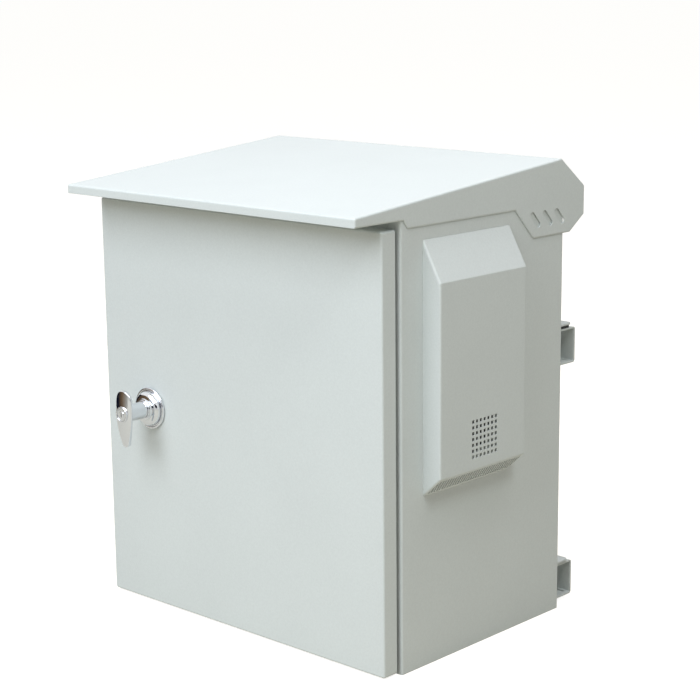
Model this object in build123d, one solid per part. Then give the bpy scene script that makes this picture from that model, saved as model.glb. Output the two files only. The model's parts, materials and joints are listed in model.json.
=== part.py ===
"""Pole or wall mounted outdoor equipment cabinet for roadside use.

Folded sheet steel body with a rain canopy, an overlapping front door on concealed hinges,
an L-handle with a key cylinder, a vent hood on each side and two pole channels behind.
Millimetres, +X to the right of someone facing the door, +Y into the cabinet, +Z up.
The origin is the centre of the base, on the surface that the cabinet stands on.
"""
import os
from math import atan2, cos, degrees, hypot, radians, sin

from build123d import *

# General sheet metal and fits
SHEET = 1.5
BEND = 1.5
SEAT_GAP = 0.3
RUNNING_GAP = 0.05
SMALL_HOLE_GAP = 0.25

# Body
BODY_W = 530.0
BODY_D = 328.0
BODY_H = 586.0
RIM_SIDE = 19.5
RIM_TOP = 33.0
RIM_BASE = 20.0
RIM_LIP = 16.0
REAR_FLANGE = 15.0

# Door, its gaps measured inward from the body's outline
DOOR_SIDE_GAP = 3.5
DOOR_HEAD_GAP = 16.5
DOOR_Z0 = 2.7
DOOR_GAP = 6.0
DOOR_DEPTH = 24.0
DOOR_CORNER_R = 3.5
GASKET_W = 12.0
GASKET_CORNER_R = 8.0

# Concealed hinges
HINGE_PIN_D = 3.0
HINGE_BARREL_R = 3.0
HINGE_H = 50.0
HINGE_KNUCKLE_H = 24.0
HINGE_PIN_AHEAD = 11.0
HINGE_ARM = 1.8
HINGE_LEAF = 1.6
HINGE_BODY_LEAF = 2.0
HINGE_INSETS = (107.3, 109.5)

# Handle and latch
HANDLE_INSET = 91.4
HANDLE_DROP = 1.5
ROSE_R = 29.0
ROSE_H = 15.0
ROSE_GASKET = 0.8
ROSE_COLLAR_R = 14.6
ROSE_RING_W = 3.6
ROSE_RING_H = 2.9
ROSE_GROOVE = 1.3
ROSE_DOME_R = 24.4
ROSE_DOME_H = 10.2
HOUSING_R = 11.0
HOUSING_LENGTH = 15.0
SPINDLE_R = 8.5
STEM_R = 11.8
GRIP_FACE = 52.0
GRIP_THICK = 6.2
GRIP_W = 31.0
GRIP_ABOVE = 32.5
GRIP_BELOW = 46.5
GRIP_TIP_R = 7.0
GRIP_WAIST = (13.3, -19.0)
GRIP_BOW_R = 240.0
GRIP_CROWN_R = 38.0
GRIP_EDGE_R = 1.1
PLUG_R = 8.8
PLUG_DEPTH = 21.0
PLUG_RING_R = 11.0
PLUG_RING_H = 1.2
PLUG_RECESS = 0.7
KEY_BOSS_R = 4.6
KEYWAY = (1.4, 6.4, 12.0)
SPINDLE_SQUARE = 9.0
HANDLE_NUT_AF = 30.0
HANDLE_NUT_H = 6.0
CAM_THICK = 3.0
CAM_WIDTH = 18.0
CAM_LAP = 8.1
CAM_CRANK = (22.0, 38.0)
CAM_BEHIND = 0.8
CAM_AHEAD = 10.0
CAM_SCREW_R = 2.9

# Canopy: rises and drops from the body's top, insets and reaches from its back
CANOPY_CLEAR = 0.5
CANOPY_FRONT = 82.3
CANOPY_LIP_DROP = 6.4
CANOPY_LIP_H = 12.0
CANOPY_PEAK_INSET = 7.5
CANOPY_PEAK_RISE = 43.0
CANOPY_REAR_RISE = 3.0
CANOPY_REAR_DROP = 36.0
LOBE_DROP = 57.4
LOBE_INSET = 68.0
LOBE_REACH = 12.5
LOBE_R = 6.0
CHEEK_DROP = 17.0
CHEEK_START = 11.5
CHEEK_INSET = 106.4
CHEEK_STEP_Y = 3.4
CHEEK_STEP_R = 5.0
CANOPY_EDGE_R = 2.5
CHEEK_SLOT = (26.5, 8.5)
CHEEK_SLOT_PITCH = 26.3
CHEEK_SLOT_INSET = 64.2
CHEEK_SLOT_DROP = 33.0
CHEEK_SLOTS = 3
BRACKET_SHEET = 2.0
BRACKET_END_GAP = 45.0
BRACKET_FLANGE = 20.0
BRACKET_START = 22.0
BRACKET_INSET = 60.0
BRACKET_BOLT_INSET = 30.0

# Vent hoods
HOOD_Y = (40.6, 212.4)
HOOD_DROP = 33.6
HOOD_PAST_CONTENTS = 66.8
HOOD_LOW_SLOPE = 26.0
HOOD_HIGH_SLOPE = 51.2
HOOD_DEPTH = 28.3
HOOD_EDGE_R = 3.0
HOOD_FLANGE = 14.0
LOUVRE_W = 2.3
LOUVRE_PITCH = 5.1
LOUVRE_LEAN = 28.0
LOUVRE_MARGIN = 5.2
LOUVRE_SIDE_MARGIN = 3.6
LOUVRE_LEAST_AREA = 12.0
GRID_OFFSET = (1.7, 66.0)
GRID_SIZE = 50.0
GRID_HOLES = 7
GRID_HOLE = 4.2
HOOD_SCREW_Y_INSET = 7.0
HOOD_SCREW_Z_INSETS = (12.0, 18.0)

# Fans
FAN_SIZE = 120.0
FAN_DEPTH = 25.0
FAN_CORNER_R = 4.0
FAN_WALL = 2.0
FAN_HOLE_INSET = 7.5
FAN_HOLE_R = 2.15
FAN_GAP = 5.0
FAN_DROP = 9.0
FAN_HUB_R = 20.0
FAN_TIP_GAP = 1.2
FAN_BLADES = 7
FAN_BLADE = 1.6
FAN_PITCH_DEGREES = (52, 30)
FAN_SHAFT_R = 2.0
FAN_MOTOR_PLATE = 3.0
FAN_STRUTS = 4
GUARD_WIRE = 1.8
GUARD_RING_COUNT = 4

# Intake filter
FILTER_SIZE = (124.0, 232.0)
FILTER_THICK = 9.7
FILTER_WALL = 1.5
FILTER_LIP = 6.0
FILTER_TAB = 12.0
INTAKE_MARGIN = 8.0
INTAKE_SLOT_H = 6.0
INTAKE_PITCH = 14.0

# Rack rails, to the 19 inch standard
UNIT = 44.45
RAIL_HOLE_INSET = 7.05
RAIL_HOLE = 9.5
RAIL_HOLE_STEPS = (6.35, 22.225, 38.1)
RAIL_SHEET = 1.5
RAIL_SETBACK = 32.0
RAIL_STANDOFF = 11.5
RAIL_FACE = 26.5
RAIL_DEPTH = 25.0
RAIL_Z0 = 32.0
RAIL_END = 16.0
RAIL_PAST_CHANNEL = 10.5
SIDE_CHANNEL_H = 30.0
SIDE_CHANNEL_START = 20.0
SIDE_CHANNEL_INSET = 28.0
SIDE_CHANNEL_LOW_Z = 52.0
SIDE_CHANNEL_ABOVE_CONTENTS = 2.0

# Cable entry in the base
ENTRY_OPENING = (180.0, 80.0)
ENTRY_LAP = 16.0
ENTRY_INSET = 78.0
ENTRY_GASKET = 2.0
GROMMET_X = 45.0
GROMMET_HOLE_R = 20.0
GROMMET_LAP = 3.5
GROMMET_LIP = 1.4
GROMMET_DOME = 5.0

# Pole channels and their ears
CHANNEL_SHEET = 2.5
CHANNEL_H = 50.0
CHANNEL_DEPTH = 44.0
CHANNEL_END_GAP = 10.0
CHANNEL_RISE = 32.5
CHANNEL_DROP = 217.5
CHANNEL_SLOT_INSET = 55.0
CHANNEL_SLOT = (30.0, 11.0)
CHANNEL_HOLE_X = 70.0
CHANNEL_HOLE_R = 5.5
FLANGE_SLOT = (18.0, 3.6)
FLANGE_SLOT_INSET = 15.0
EAR_GAP = (2.2, 5.0)
EAR_SHEET = 2.5
EAR_W = 60.0
EAR_DEPTH = 34.0
EAR_H = 40.0
EAR_CORNER_R = 8.0
EAR_INSET = 27.0
EAR_HOLE_X = 18.0
EAR_HOLE_Z = 24.0
EAR_PAD = (52.0, 22.0)
CHANNEL_BOLT_Y = 20.0

# Earth studs
STUD_LENGTH = 12.6
STUD_WASHER = 1.6
STUD_NUT = 4.0
STUD_BODY_INSET = 60.0
STUD_BODY_BEHIND = 70.0
STUD_DOOR_INSET = 56.5
STUD_DOOR_Z = 60.0

# Fasteners: shank radius, head radius or half width across flats, head height
M4 = (2.0, 3.8, 2.4)
M5 = (2.5, 4.4, 2.8)
M6 = (3.0, 5.0, 4.0)
M8 = (4.0, 6.5, 5.3)

# Places that several pieces share
FRONT = -BODY_D / 2
BACK = BODY_D / 2
SIDE = BODY_W / 2
OUTER_BEND = BEND + SHEET
OPENING_X = SIDE - RIM_SIDE - SHEET
OPENING_Z = (RIM_BASE + SHEET, BODY_H - RIM_TOP - SHEET)
DOOR_FACE = DOOR_GAP + DOOR_DEPTH
DOOR_INNER = DOOR_FACE - SHEET
DOOR_W = BODY_W - 2 * DOOR_SIDE_GAP
DOOR_H = BODY_H - DOOR_HEAD_GAP - DOOR_Z0
HINGE_X = DOOR_W / 2 - SHEET - SEAT_GAP - HINGE_BARREL_R
HINGE_Z = (DOOR_Z0 + HINGE_INSETS[0], DOOR_Z0 + DOOR_H - HINGE_INSETS[1])
HANDLE_X = -DOOR_W / 2 + HANDLE_INSET
HANDLE_Z = DOOR_Z0 + DOOR_H / 2 - HANDLE_DROP
CAM_REACH = OPENING_X + HANDLE_X + CAM_LAP
HOOD_MID_Y = (HOOD_Y[0] + HOOD_Y[1]) / 2
HOOD_HALF_Y = (HOOD_Y[1] - HOOD_Y[0]) / 2

# Both hoods are as tall as the taller of what they cover, the fans or the filter
FAN_STACK = 2 * FAN_SIZE + FAN_GAP
FILTER_STACK = FILTER_SIZE[1] + 2 * (FILTER_WALL + FILTER_TAB)
HOOD_CONTENTS = max(FAN_STACK, FILTER_STACK)
HOOD_H = HOOD_CONTENTS + HOOD_PAST_CONTENTS
HOOD_BASE_Z = (BODY_H - HOOD_DROP - HOOD_H, BODY_H - HOOD_DROP)
HOOD_FACE_Z = (HOOD_BASE_Z[0] + HOOD_LOW_SLOPE, HOOD_BASE_Z[1] - HOOD_HIGH_SLOPE)
CANOPY_LIP_Z = BODY_H - CANOPY_LIP_DROP
CANOPY_PEAK_Y = BODY_D - CANOPY_PEAK_INSET
CANOPY_PEAK_Z = BODY_H + CANOPY_PEAK_RISE
CANOPY_REAR_Y = BODY_D + CHANNEL_DEPTH
CANOPY_REAR_Z = (BODY_H + CANOPY_REAR_RISE, BODY_H - CANOPY_REAR_DROP)
LOBE_Z = BODY_H - LOBE_DROP
LOBE_Y = (BODY_D - LOBE_INSET, BODY_D + LOBE_REACH)
CHEEK_Z = BODY_H - CHEEK_DROP
CHEEK_Y = (CHEEK_START, BODY_D - CHEEK_INSET)
ROOF_RISE = (CANOPY_PEAK_Z - CANOPY_LIP_Z - CANOPY_LIP_H) / (CANOPY_PEAK_Y + CANOPY_FRONT)
CANOPY_HALF_W = SIDE + CANOPY_CLEAR + SHEET
BRACKET_W = BODY_W - 2 * BRACKET_END_GAP
BRACKET_Y = (BRACKET_START, BODY_D - BRACKET_INSET)
BRACKET_BOLT_X = BRACKET_W / 2 - BRACKET_BOLT_INSET
FAN_BORE_R = FAN_SIZE / 2 - FAN_WALL
FAN_HOLE_PITCH = FAN_SIZE - 2 * FAN_HOLE_INSET
FAN_CENTRE_Y = HOOD_MID_Y
FAN_MIDDLE_Z = (HOOD_BASE_Z[0] + HOOD_BASE_Z[1]) / 2 - FAN_DROP
FAN_HALF_PITCH = (FAN_SIZE + FAN_GAP) / 2
FAN_CENTRE_Z = (FAN_MIDDLE_Z - FAN_HALF_PITCH, FAN_MIDDLE_Z + FAN_HALF_PITCH)
FILTER_Y = HOOD_MID_Y
FILTER_Z = FAN_MIDDLE_Z
CONTENTS_TOP = FAN_MIDDLE_Z + HOOD_CONTENTS / 2
SIDE_CHANNEL_Z = (
    SIDE_CHANNEL_LOW_Z,
    CONTENTS_TOP + SIDE_CHANNEL_ABOVE_CONTENTS + SIDE_CHANNEL_H / 2,
)
RAIL_OUTER_X = SIDE - SHEET - RAIL_STANDOFF
RAIL_INNER_X = RAIL_OUTER_X - RAIL_FACE
RAIL_TOP = SIDE_CHANNEL_Z[1] + RAIL_PAST_CHANNEL
RACK_UNITS = int((RAIL_TOP - RAIL_END - RAIL_Z0) / UNIT)
ENTRY_BEHIND = BODY_D - ENTRY_INSET
CHANNEL_LENGTH = BODY_W - 2 * CHANNEL_END_GAP
CHANNEL_Z = (CHANNEL_RISE, BODY_H - CHANNEL_DROP)
EAR_X = CHANNEL_LENGTH / 2 - EAR_INSET


def ahead(distance):
    """Y of a plane this far in front of the body's rim."""
    return FRONT - distance


def behind(distance):
    """Y of a plane this far behind the body's rim."""
    return FRONT + distance


def face_of(points, radii):
    """A closed flat outline with a rounding radius at each corner."""
    return make_face(FilletPolyline(*points, radius=radii, close=True).edges())


def sheet_outline(points, thickness, left_side, inner_radius=BEND):
    """The edge-on outline of a folded sheet whose one surface follows the points."""
    sign = 1.0 if left_side else -1.0
    near = [Vector(*point) for point in points]
    steps = [(b - a).normalized() for a, b in zip(near, near[1:])]
    normals = [Vector(-step.Y, step.X) * sign for step in steps]
    far = [near[0] + normals[0] * thickness]
    near_radii = []
    far_radii = []
    for index in range(1, len(near) - 1):
        before, after = normals[index - 1], normals[index]
        far.append(near[index] + (before + after) * (thickness / (1 + before.dot(after))))
        turn = steps[index - 1].X * steps[index].Y - steps[index - 1].Y * steps[index].X
        inside_is_far = turn * sign > 0
        near_radii.append(inner_radius + thickness if inside_is_far else inner_radius)
        far_radii.append(inner_radius if inside_is_far else inner_radius + thickness)
    far.append(near[-1] + normals[-1] * thickness)
    corners = near + far[::-1]
    radii = [0.0] + near_radii + [0.0, 0.0] + far_radii[::-1] + [0.0]
    return face_of(corners, radii)


def along_x(face, low, high):
    """Extrude a face drawn in Y and Z from one X to another."""
    return Pos(low, 0, 0) * extrude(Plane.YZ * face, amount=high - low)


def along_y(face, low, high):
    """Extrude a face drawn in X and Z from one Y to another."""
    return Pos(0, high, 0) * extrude(Plane.XZ * face, amount=high - low)


def along_z(face, low, high):
    """Extrude a face drawn in X and Y from one Z to another."""
    return Pos(0, 0, low) * extrude(face, amount=high - low)


def block(x, y, z):
    """A box between two values on each axis."""
    centre = Pos((x[0] + x[1]) / 2, (y[0] + y[1]) / 2, (z[0] + z[1]) / 2)
    return centre * Box(x[1] - x[0], y[1] - y[0], z[1] - z[0])


def rod(axis, centre, radius, low, high):
    """A round bar along an axis, between two values on it."""
    length = high - low
    middle = (low + high) / 2
    if axis == "X":
        return Pos(middle, centre[0], centre[1]) * Rot(0, 90, 0) * Cylinder(radius, length)
    if axis == "Y":
        return Pos(centre[0], middle, centre[1]) * Rot(90, 0, 0) * Cylinder(radius, length)
    return Pos(centre[0], centre[1], middle) * Cylinder(radius, length)


def hexagon(axis, centre, half_flats, low, high):
    """A hexagon bar along an axis, between two values on it."""
    face = RegularPolygon(half_flats, 6, major_radius=False)
    if axis == "X":
        return along_x(Pos(*centre) * face, low, high)
    if axis == "Y":
        return along_y(Pos(*centre) * face, low, high)
    return along_z(Pos(*centre) * face, low, high)


def bolt(axis, centre, size, head_seat, tip, nut_seat=None, head_round=False):
    """A bolt from its head's seat to its tip, with a nut where one is given."""
    shank_r, head_r, head_h = size
    way = 1.0 if tip > head_seat else -1.0
    head_low, head_high = sorted((head_seat, head_seat - way * head_h))
    maker = rod if head_round else hexagon
    solid = maker(axis, centre, head_r, head_low, head_high)
    solid += rod(axis, centre, shank_r, *sorted((head_seat, tip)))
    if nut_seat is not None:
        nut_low, nut_high = sorted((nut_seat, nut_seat + way * head_h))
        solid += hexagon(axis, centre, head_r, nut_low, nut_high)
    return solid


def group(solids):
    """Several separate solids of one kind, kept apart in one node."""
    return Compound(children=[piece for solid in solids for piece in solid.solids()])


def fan_screw_places():
    """Y and Z of the corner screws of every fan."""
    half = FAN_HOLE_PITCH / 2
    return [
        (behind(FAN_CENTRE_Y) + side_y * half, centre_z + side_z * half)
        for centre_z in FAN_CENTRE_Z
        for side_y in (-1, 1)
        for side_z in (-1, 1)
    ]


def hood_screw_places():
    """Y and Z of the screws that hold a hood's inner flange."""
    rows_y = (HOOD_Y[0] + HOOD_SCREW_Y_INSET, HOOD_Y[1] - HOOD_SCREW_Y_INSET)
    low_z = HOOD_BASE_Z[0] + HOOD_SCREW_Z_INSETS[0]
    high_z = HOOD_BASE_Z[1] - HOOD_SCREW_Z_INSETS[1]
    rows_z = (low_z, (low_z + high_z) / 2, high_z)
    return [(behind(y), z) for y in rows_y for z in rows_z]


def filter_screw_places():
    """Y and Z of the screws through the filter frame's tabs."""
    reach = FILTER_SIZE[1] / 2 + FILTER_WALL + FILTER_TAB / 2
    across = FILTER_SIZE[0] / 2 - FILTER_TAB
    return [
        (behind(FILTER_Y) + side_y * across, FILTER_Z + side_z * reach)
        for side_y in (-1, 1)
        for side_z in (-1, 1)
    ]


def rail_bolt_places(side):
    """Y, Z and hand of the bolts that hold one rack rail to its side channels."""
    return [(behind(RAIL_SETBACK + RAIL_DEPTH * 0.6), z, side) for z in SIDE_CHANNEL_Z]


def ear_bolt_places():
    """X and Z of the bolts that hold the ears to the body's back."""
    places = []
    for channel_z, gap in zip(CHANNEL_Z, EAR_GAP):
        seat = channel_z + CHANNEL_H / 2 + gap + EAR_HOLE_Z
        for side in (-1, 1):
            places += [(side * EAR_X + way * EAR_HOLE_X, seat) for way in (-1, 1)]
    return places


def entry_screw_places():
    """X and Y of the screws round the cable entry."""
    half_x = ENTRY_OPENING[0] / 2 + ENTRY_LAP / 2
    half_y = ENTRY_OPENING[1] / 2 + ENTRY_LAP / 2
    middle = behind(ENTRY_BEHIND)
    return [(x, middle + side * half_y) for x in (-half_x, 0.0, half_x) for side in (-1, 1)]


def canopy_bolt_places():
    """X and Y of the bolts that hold the canopy's brackets on the body's top."""
    rows = [behind(start + BRACKET_FLANGE / 2) for start in BRACKET_Y]
    return [(x, y) for y in rows for x in (-BRACKET_BOLT_X, 0.0, BRACKET_BOLT_X)]


def body_shell():
    """Back, sides and upright rims folded from one sheet."""
    lip_x = SIDE - RIM_SIDE
    path = [
        (-lip_x, ahead(RIM_LIP)),
        (-lip_x, FRONT),
        (-SIDE, FRONT),
        (-SIDE, BACK),
        (SIDE, BACK),
        (SIDE, FRONT),
        (lip_x, FRONT),
        (lip_x, ahead(RIM_LIP)),
    ]
    shell = along_z(sheet_outline(path, SHEET, left_side=False), 0, BODY_H)
    notch_x = (-SIDE, SIDE)
    notch_y = (ahead(RIM_LIP + 1), FRONT)
    shell -= block(notch_x, notch_y, (-1, RIM_BASE))
    shell -= block(notch_x, notch_y, (BODY_H - RIM_TOP, BODY_H + 1))

    right = (SIDE - 2 * SHEET, SIDE + SHEET)
    left = (-SIDE - SHEET, -SIDE + 2 * SHEET)
    for centre_z in FAN_CENTRE_Z:
        shell -= rod("X", (behind(FAN_CENTRE_Y), centre_z), FAN_BORE_R, *right)
    for place in fan_screw_places():
        shell -= rod("X", place, M4[0] + SMALL_HOLE_GAP, *right)
    for place in hood_screw_places():
        shell -= rod("X", place, M5[0] + SMALL_HOLE_GAP, *right)
        shell -= rod("X", place, M5[0] + SMALL_HOLE_GAP, *left)
    for place in filter_screw_places():
        shell -= rod("X", place, M4[0] + SMALL_HOLE_GAP, *left)
    slot = SlotOverall(FILTER_SIZE[0] - 2 * INTAKE_MARGIN, INTAKE_SLOT_H)
    slots = int((FILTER_SIZE[1] - FILTER_LIP) / INTAKE_PITCH)
    for index in range(slots):
        slot_z = FILTER_Z + (index - (slots - 1) / 2) * INTAKE_PITCH
        shell -= along_x(Pos(behind(FILTER_Y), slot_z) * slot, *left)
    for place in ear_bolt_places():
        shell -= rod("Y", place, M8[0] + SMALL_HOLE_GAP, BACK - 2 * SHEET, BACK + SHEET)
    return shell


def top_panel():
    """Top sheet with the upper rim and a rear flange, set between the sides."""
    path = [
        (ahead(RIM_LIP), BODY_H - RIM_TOP),
        (FRONT, BODY_H - RIM_TOP),
        (FRONT, BODY_H),
        (BACK - SHEET, BODY_H),
        (BACK - SHEET, BODY_H - REAR_FLANGE),
    ]
    half = SIDE - SHEET
    panel = along_x(sheet_outline(path, SHEET, left_side=False), -half, half)
    panel = trim_rim_corners(panel, (BODY_H - RIM_TOP - OUTER_BEND, BODY_H + 1))
    for x, y in canopy_bolt_places():
        panel -= rod("Z", (x, y), M6[0] + SMALL_HOLE_GAP, BODY_H - 2 * SHEET, BODY_H + 1)
    return panel


def base_panel():
    """Base sheet with the lower rim, a rear flange and the cable entry."""
    path = [
        (ahead(RIM_LIP), RIM_BASE),
        (FRONT, RIM_BASE),
        (FRONT, 0),
        (BACK - SHEET, 0),
        (BACK - SHEET, REAR_FLANGE),
    ]
    half = SIDE - SHEET
    panel = along_x(sheet_outline(path, SHEET, left_side=True), -half, half)
    panel = trim_rim_corners(panel, (-1, RIM_BASE + OUTER_BEND))
    opening = RectangleRounded(*ENTRY_OPENING, 6)
    panel -= along_z(Pos(0, behind(ENTRY_BEHIND)) * opening, -1, 2 * SHEET)
    for x, y in entry_screw_places():
        panel -= rod("Z", (x, y), M5[0] + SMALL_HOLE_GAP, -1, 2 * SHEET)
    return panel


def trim_rim_corners(panel, z_range):
    """Cut a panel's rim back to the opening, where the upright rims pass it."""
    for side in (-1, 1):
        x_range = sorted((side * OPENING_X, side * (SIDE + 1)))
        panel -= block(x_range, (ahead(RIM_LIP + 1), FRONT + SHEET), z_range)
        corner_x = sorted((side * (SIDE - OUTER_BEND), side * (SIDE + 1)))
        panel -= block(corner_x, (FRONT, FRONT + OUTER_BEND), (-1, BODY_H + 1))
        panel -= block(corner_x, (BACK - OUTER_BEND, BACK), (-1, BODY_H + 1))
    return panel


def roof_height(y_behind):
    """Height of the roof's outer surface, this far behind the body's rim."""
    return CANOPY_LIP_Z + CANOPY_LIP_H + (y_behind + CANOPY_FRONT) * ROOF_RISE


def canopy():
    """Rain canopy: roof with a front lip, a rear slope and two side cheeks."""
    rear_slope = [(CANOPY_PEAK_Y, CANOPY_PEAK_Z), (CANOPY_REAR_Y, CANOPY_REAR_Z[0])]
    outline = [
        (-CANOPY_FRONT, CANOPY_LIP_Z),
        (-CANOPY_FRONT, CANOPY_LIP_Z + CANOPY_LIP_H),
        *rear_slope,
        (CANOPY_REAR_Y, CANOPY_REAR_Z[1]),
        (LOBE_Y[1], LOBE_Z),
        (LOBE_Y[0], LOBE_Z),
        (CHEEK_Y[1], CHEEK_Z),
        (CHEEK_Y[0], CHEEK_Z),
        (CHEEK_STEP_Y, CANOPY_LIP_Z),
    ]
    radii = [0, OUTER_BEND, OUTER_BEND, OUTER_BEND, 2, 1, LOBE_R, 1, CHEEK_STEP_R, 0.5]
    solid = along_x(
        face_of([(behind(y), z) for y, z in outline], radii), -CANOPY_HALF_W, CANOPY_HALF_W
    )
    solid = fillet(roof_side_edges(solid, CANOPY_HALF_W), CANOPY_EDGE_R)

    drop = CANOPY_LIP_Z - LOBE_Z + 10
    inner_half = CANOPY_HALF_W - SHEET
    inner = sheet_inside(
        [(-CANOPY_FRONT, CANOPY_LIP_Z - drop), (-CANOPY_FRONT, CANOPY_LIP_Z + CANOPY_LIP_H)]
        + rear_slope
        + [(CANOPY_REAR_Y, LOBE_Z - 10)]
    )
    hollow = along_x(inner, -inner_half, inner_half)
    hollow = fillet(roof_side_edges(hollow, inner_half), CANOPY_EDGE_R - SHEET)
    solid -= hollow

    lean = degrees(atan2(CHEEK_Z - LOBE_Z, LOBE_Y[0] - CHEEK_Y[1]))
    slot = Rot(0, 0, -lean) * SlotOverall(*CHEEK_SLOT)
    for index in range(CHEEK_SLOTS):
        slot_y = BACK - CHEEK_SLOT_INSET + index * CHEEK_SLOT_PITCH
        cutter = Pos(slot_y, BODY_H - CHEEK_SLOT_DROP) * slot
        solid -= along_x(cutter, -CANOPY_HALF_W - 1, CANOPY_HALF_W + 1)
    return solid


def sheet_inside(path):
    """The space inside a sheet whose outer surface follows a path of Y behind the rim and Z."""
    points = [Vector(behind(y), z) for y, z in path]
    steps = [(b - a).normalized() for a, b in zip(points, points[1:])]
    normals = [Vector(step.Y, -step.X) for step in steps]
    inner = [points[0] + normals[0] * SHEET]
    for index in range(1, len(points) - 1):
        before, after = normals[index - 1], normals[index]
        inner.append(points[index] + (before + after) * (SHEET / (1 + before.dot(after))))
    inner.append(points[-1] + normals[-1] * SHEET)
    return face_of(inner, [0] + [BEND] * (len(inner) - 2) + [0])


def roof_side_edges(solid, half_width):
    """The edges where a canopy's roof, lip and rear meet its cheeks."""
    lowest = CANOPY_LIP_Z + CANOPY_LIP_H / 2
    return [
        edge
        for edge in solid.edges()
        if abs(abs(edge.center().X) - half_width) < 0.01
        and edge.center().Z > lowest
        and edge.center().Z > CANOPY_REAR_Z[0] - 8
    ]


def canopy_bracket(start):
    """Z-shaped bracket across the body's top, welded under the sloping roof."""
    def under_roof(y_behind):
        return roof_height(y_behind) - (SHEET + BRACKET_SHEET) * hypot(1, ROOF_RISE)

    web = start + BRACKET_FLANGE
    end = web + BRACKET_FLANGE
    path = [
        (behind(start), BODY_H),
        (behind(web), BODY_H),
        (behind(web), under_roof(web)),
        (behind(end), under_roof(end)),
    ]
    outline = sheet_outline(path, BRACKET_SHEET, left_side=True)
    bracket = along_x(outline, -BRACKET_W / 2, BRACKET_W / 2)
    bolt_y = behind(start + BRACKET_FLANGE / 2)
    for x, y in canopy_bolt_places():
        if y == bolt_y:
            bracket -= rod("Z", (x, y), M6[0] + SMALL_HOLE_GAP, BODY_H - 1, BODY_H + 4)
    return bracket


def canopy_bolts():
    """Bolts up through the body's top into the canopy's brackets."""
    under, nut_seat = BODY_H - SHEET, BODY_H + BRACKET_SHEET
    tip = nut_seat + M6[2] + 1.5
    return group([bolt("Z", place, M6, under, tip, nut_seat) for place in canopy_bolt_places()])


def door_panel():
    """Folded door pan with a rounded rim and the handle's hole."""
    middle_z = DOOR_Z0 + DOOR_H / 2
    outer = Pos(0, middle_z) * RectangleRounded(DOOR_W, DOOR_H, DOOR_CORNER_R)
    pan = along_y(outer, ahead(DOOR_FACE), ahead(DOOR_GAP))
    pan = fillet(pan.faces().sort_by(Axis.Y)[0].edges(), OUTER_BEND)
    inner_r = DOOR_CORNER_R - SHEET
    inner = Pos(0, middle_z) * RectangleRounded(DOOR_W - 2 * SHEET, DOOR_H - 2 * SHEET, inner_r)
    space = along_y(inner, ahead(DOOR_INNER), ahead(DOOR_GAP - 1))
    space = fillet(space.faces().sort_by(Axis.Y)[0].edges(), BEND)
    pan -= space
    hole = HOUSING_R + SMALL_HOLE_GAP
    pan -= rod("Y", (HANDLE_X, HANDLE_Z), hole, ahead(DOOR_FACE + 1), ahead(DOOR_INNER - 1))
    return pan


def door_gasket():
    """Foam seal round the door's inside, facing the tip of the rim."""
    middle_x = OPENING_X + SHEET / 2
    low, high = OPENING_Z[0] - SHEET / 2, OPENING_Z[1] + SHEET / 2
    centre = Pos(0, (low + high) / 2)
    width, height = 2 * middle_x, high - low
    ring = RectangleRounded(width + GASKET_W, height + GASKET_W, GASKET_CORNER_R)
    ring -= Rectangle(width - GASKET_W, height - GASKET_W)
    return along_y(centre * ring, ahead(DOOR_INNER), ahead(RIM_LIP + SEAT_GAP))


def hinge_knuckle(low, high):
    """One barrel of a hinge, round the pin's bore."""
    centre = (HINGE_X, ahead(HINGE_PIN_AHEAD))
    return rod("Z", centre, HINGE_BARREL_R, low, high)


def hinge_bore(solid, centre_z):
    """Bore a leaf for its pin."""
    reach = HINGE_H / 2 + 1
    radius = HINGE_PIN_D / 2 + RUNNING_GAP
    centre = (HINGE_X, ahead(HINGE_PIN_AHEAD))
    return solid - rod("Z", centre, radius, centre_z - reach, centre_z + reach)


def hinge_leaf_body(centre_z):
    """Leaf welded to the outside of the rim's lip, with the middle knuckle."""
    lip_face = SIDE - RIM_SIDE
    half = HINGE_H / 2
    knuckle = HINGE_KNUCKLE_H / 2
    z_range = (centre_z - half, centre_z + half)
    plate_y = (ahead(HINGE_PIN_AHEAD + HINGE_BARREL_R), ahead(BEND))
    leaf = block((lip_face, lip_face + HINGE_BODY_LEAF), plate_y, z_range)
    arm_front = HINGE_PIN_AHEAD + HINGE_BARREL_R
    arm_y = (ahead(arm_front), ahead(arm_front - HINGE_ARM))
    knuckle_z = (centre_z - knuckle, centre_z + knuckle)
    leaf += block((lip_face, HINGE_X), arm_y, knuckle_z)
    leaf += hinge_knuckle(*knuckle_z)
    return hinge_bore(leaf, centre_z)


def hinge_leaf_door(centre_z):
    """Leaf welded inside the door's right return, with the outer knuckles."""
    half = HINGE_H / 2
    inside = DOOR_W / 2 - SHEET
    plate_x = (inside - HINGE_LEAF, inside)
    plate_rear = ahead(HINGE_PIN_AHEAD + HINGE_BARREL_R + SEAT_GAP)
    plate_y = (ahead(DOOR_INNER - OUTER_BEND), plate_rear)
    leaf = block(plate_x, plate_y, (centre_z - half, centre_z + half))
    arm_y = (plate_rear - HINGE_ARM, ahead(HINGE_PIN_AHEAD))
    inner = HINGE_KNUCKLE_H / 2 + SEAT_GAP
    for low, high in ((centre_z - half, centre_z - inner), (centre_z + inner, centre_z + half)):
        leaf += block((HINGE_X, inside), arm_y, (low, high))
        leaf += hinge_knuckle(low, high)
    return hinge_bore(leaf, centre_z)


def hinge_pin(centre_z):
    """Pin with a small head on top of the upper knuckle."""
    centre = (HINGE_X, ahead(HINGE_PIN_AHEAD))
    half = HINGE_H / 2
    pin = rod("Z", centre, HINGE_PIN_D / 2, centre_z - half, centre_z + half + SEAT_GAP)
    head_low = centre_z + half + SEAT_GAP
    pin += rod("Z", centre, HINGE_BARREL_R - 0.4, head_low, head_low + 1.6)
    return pin


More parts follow.
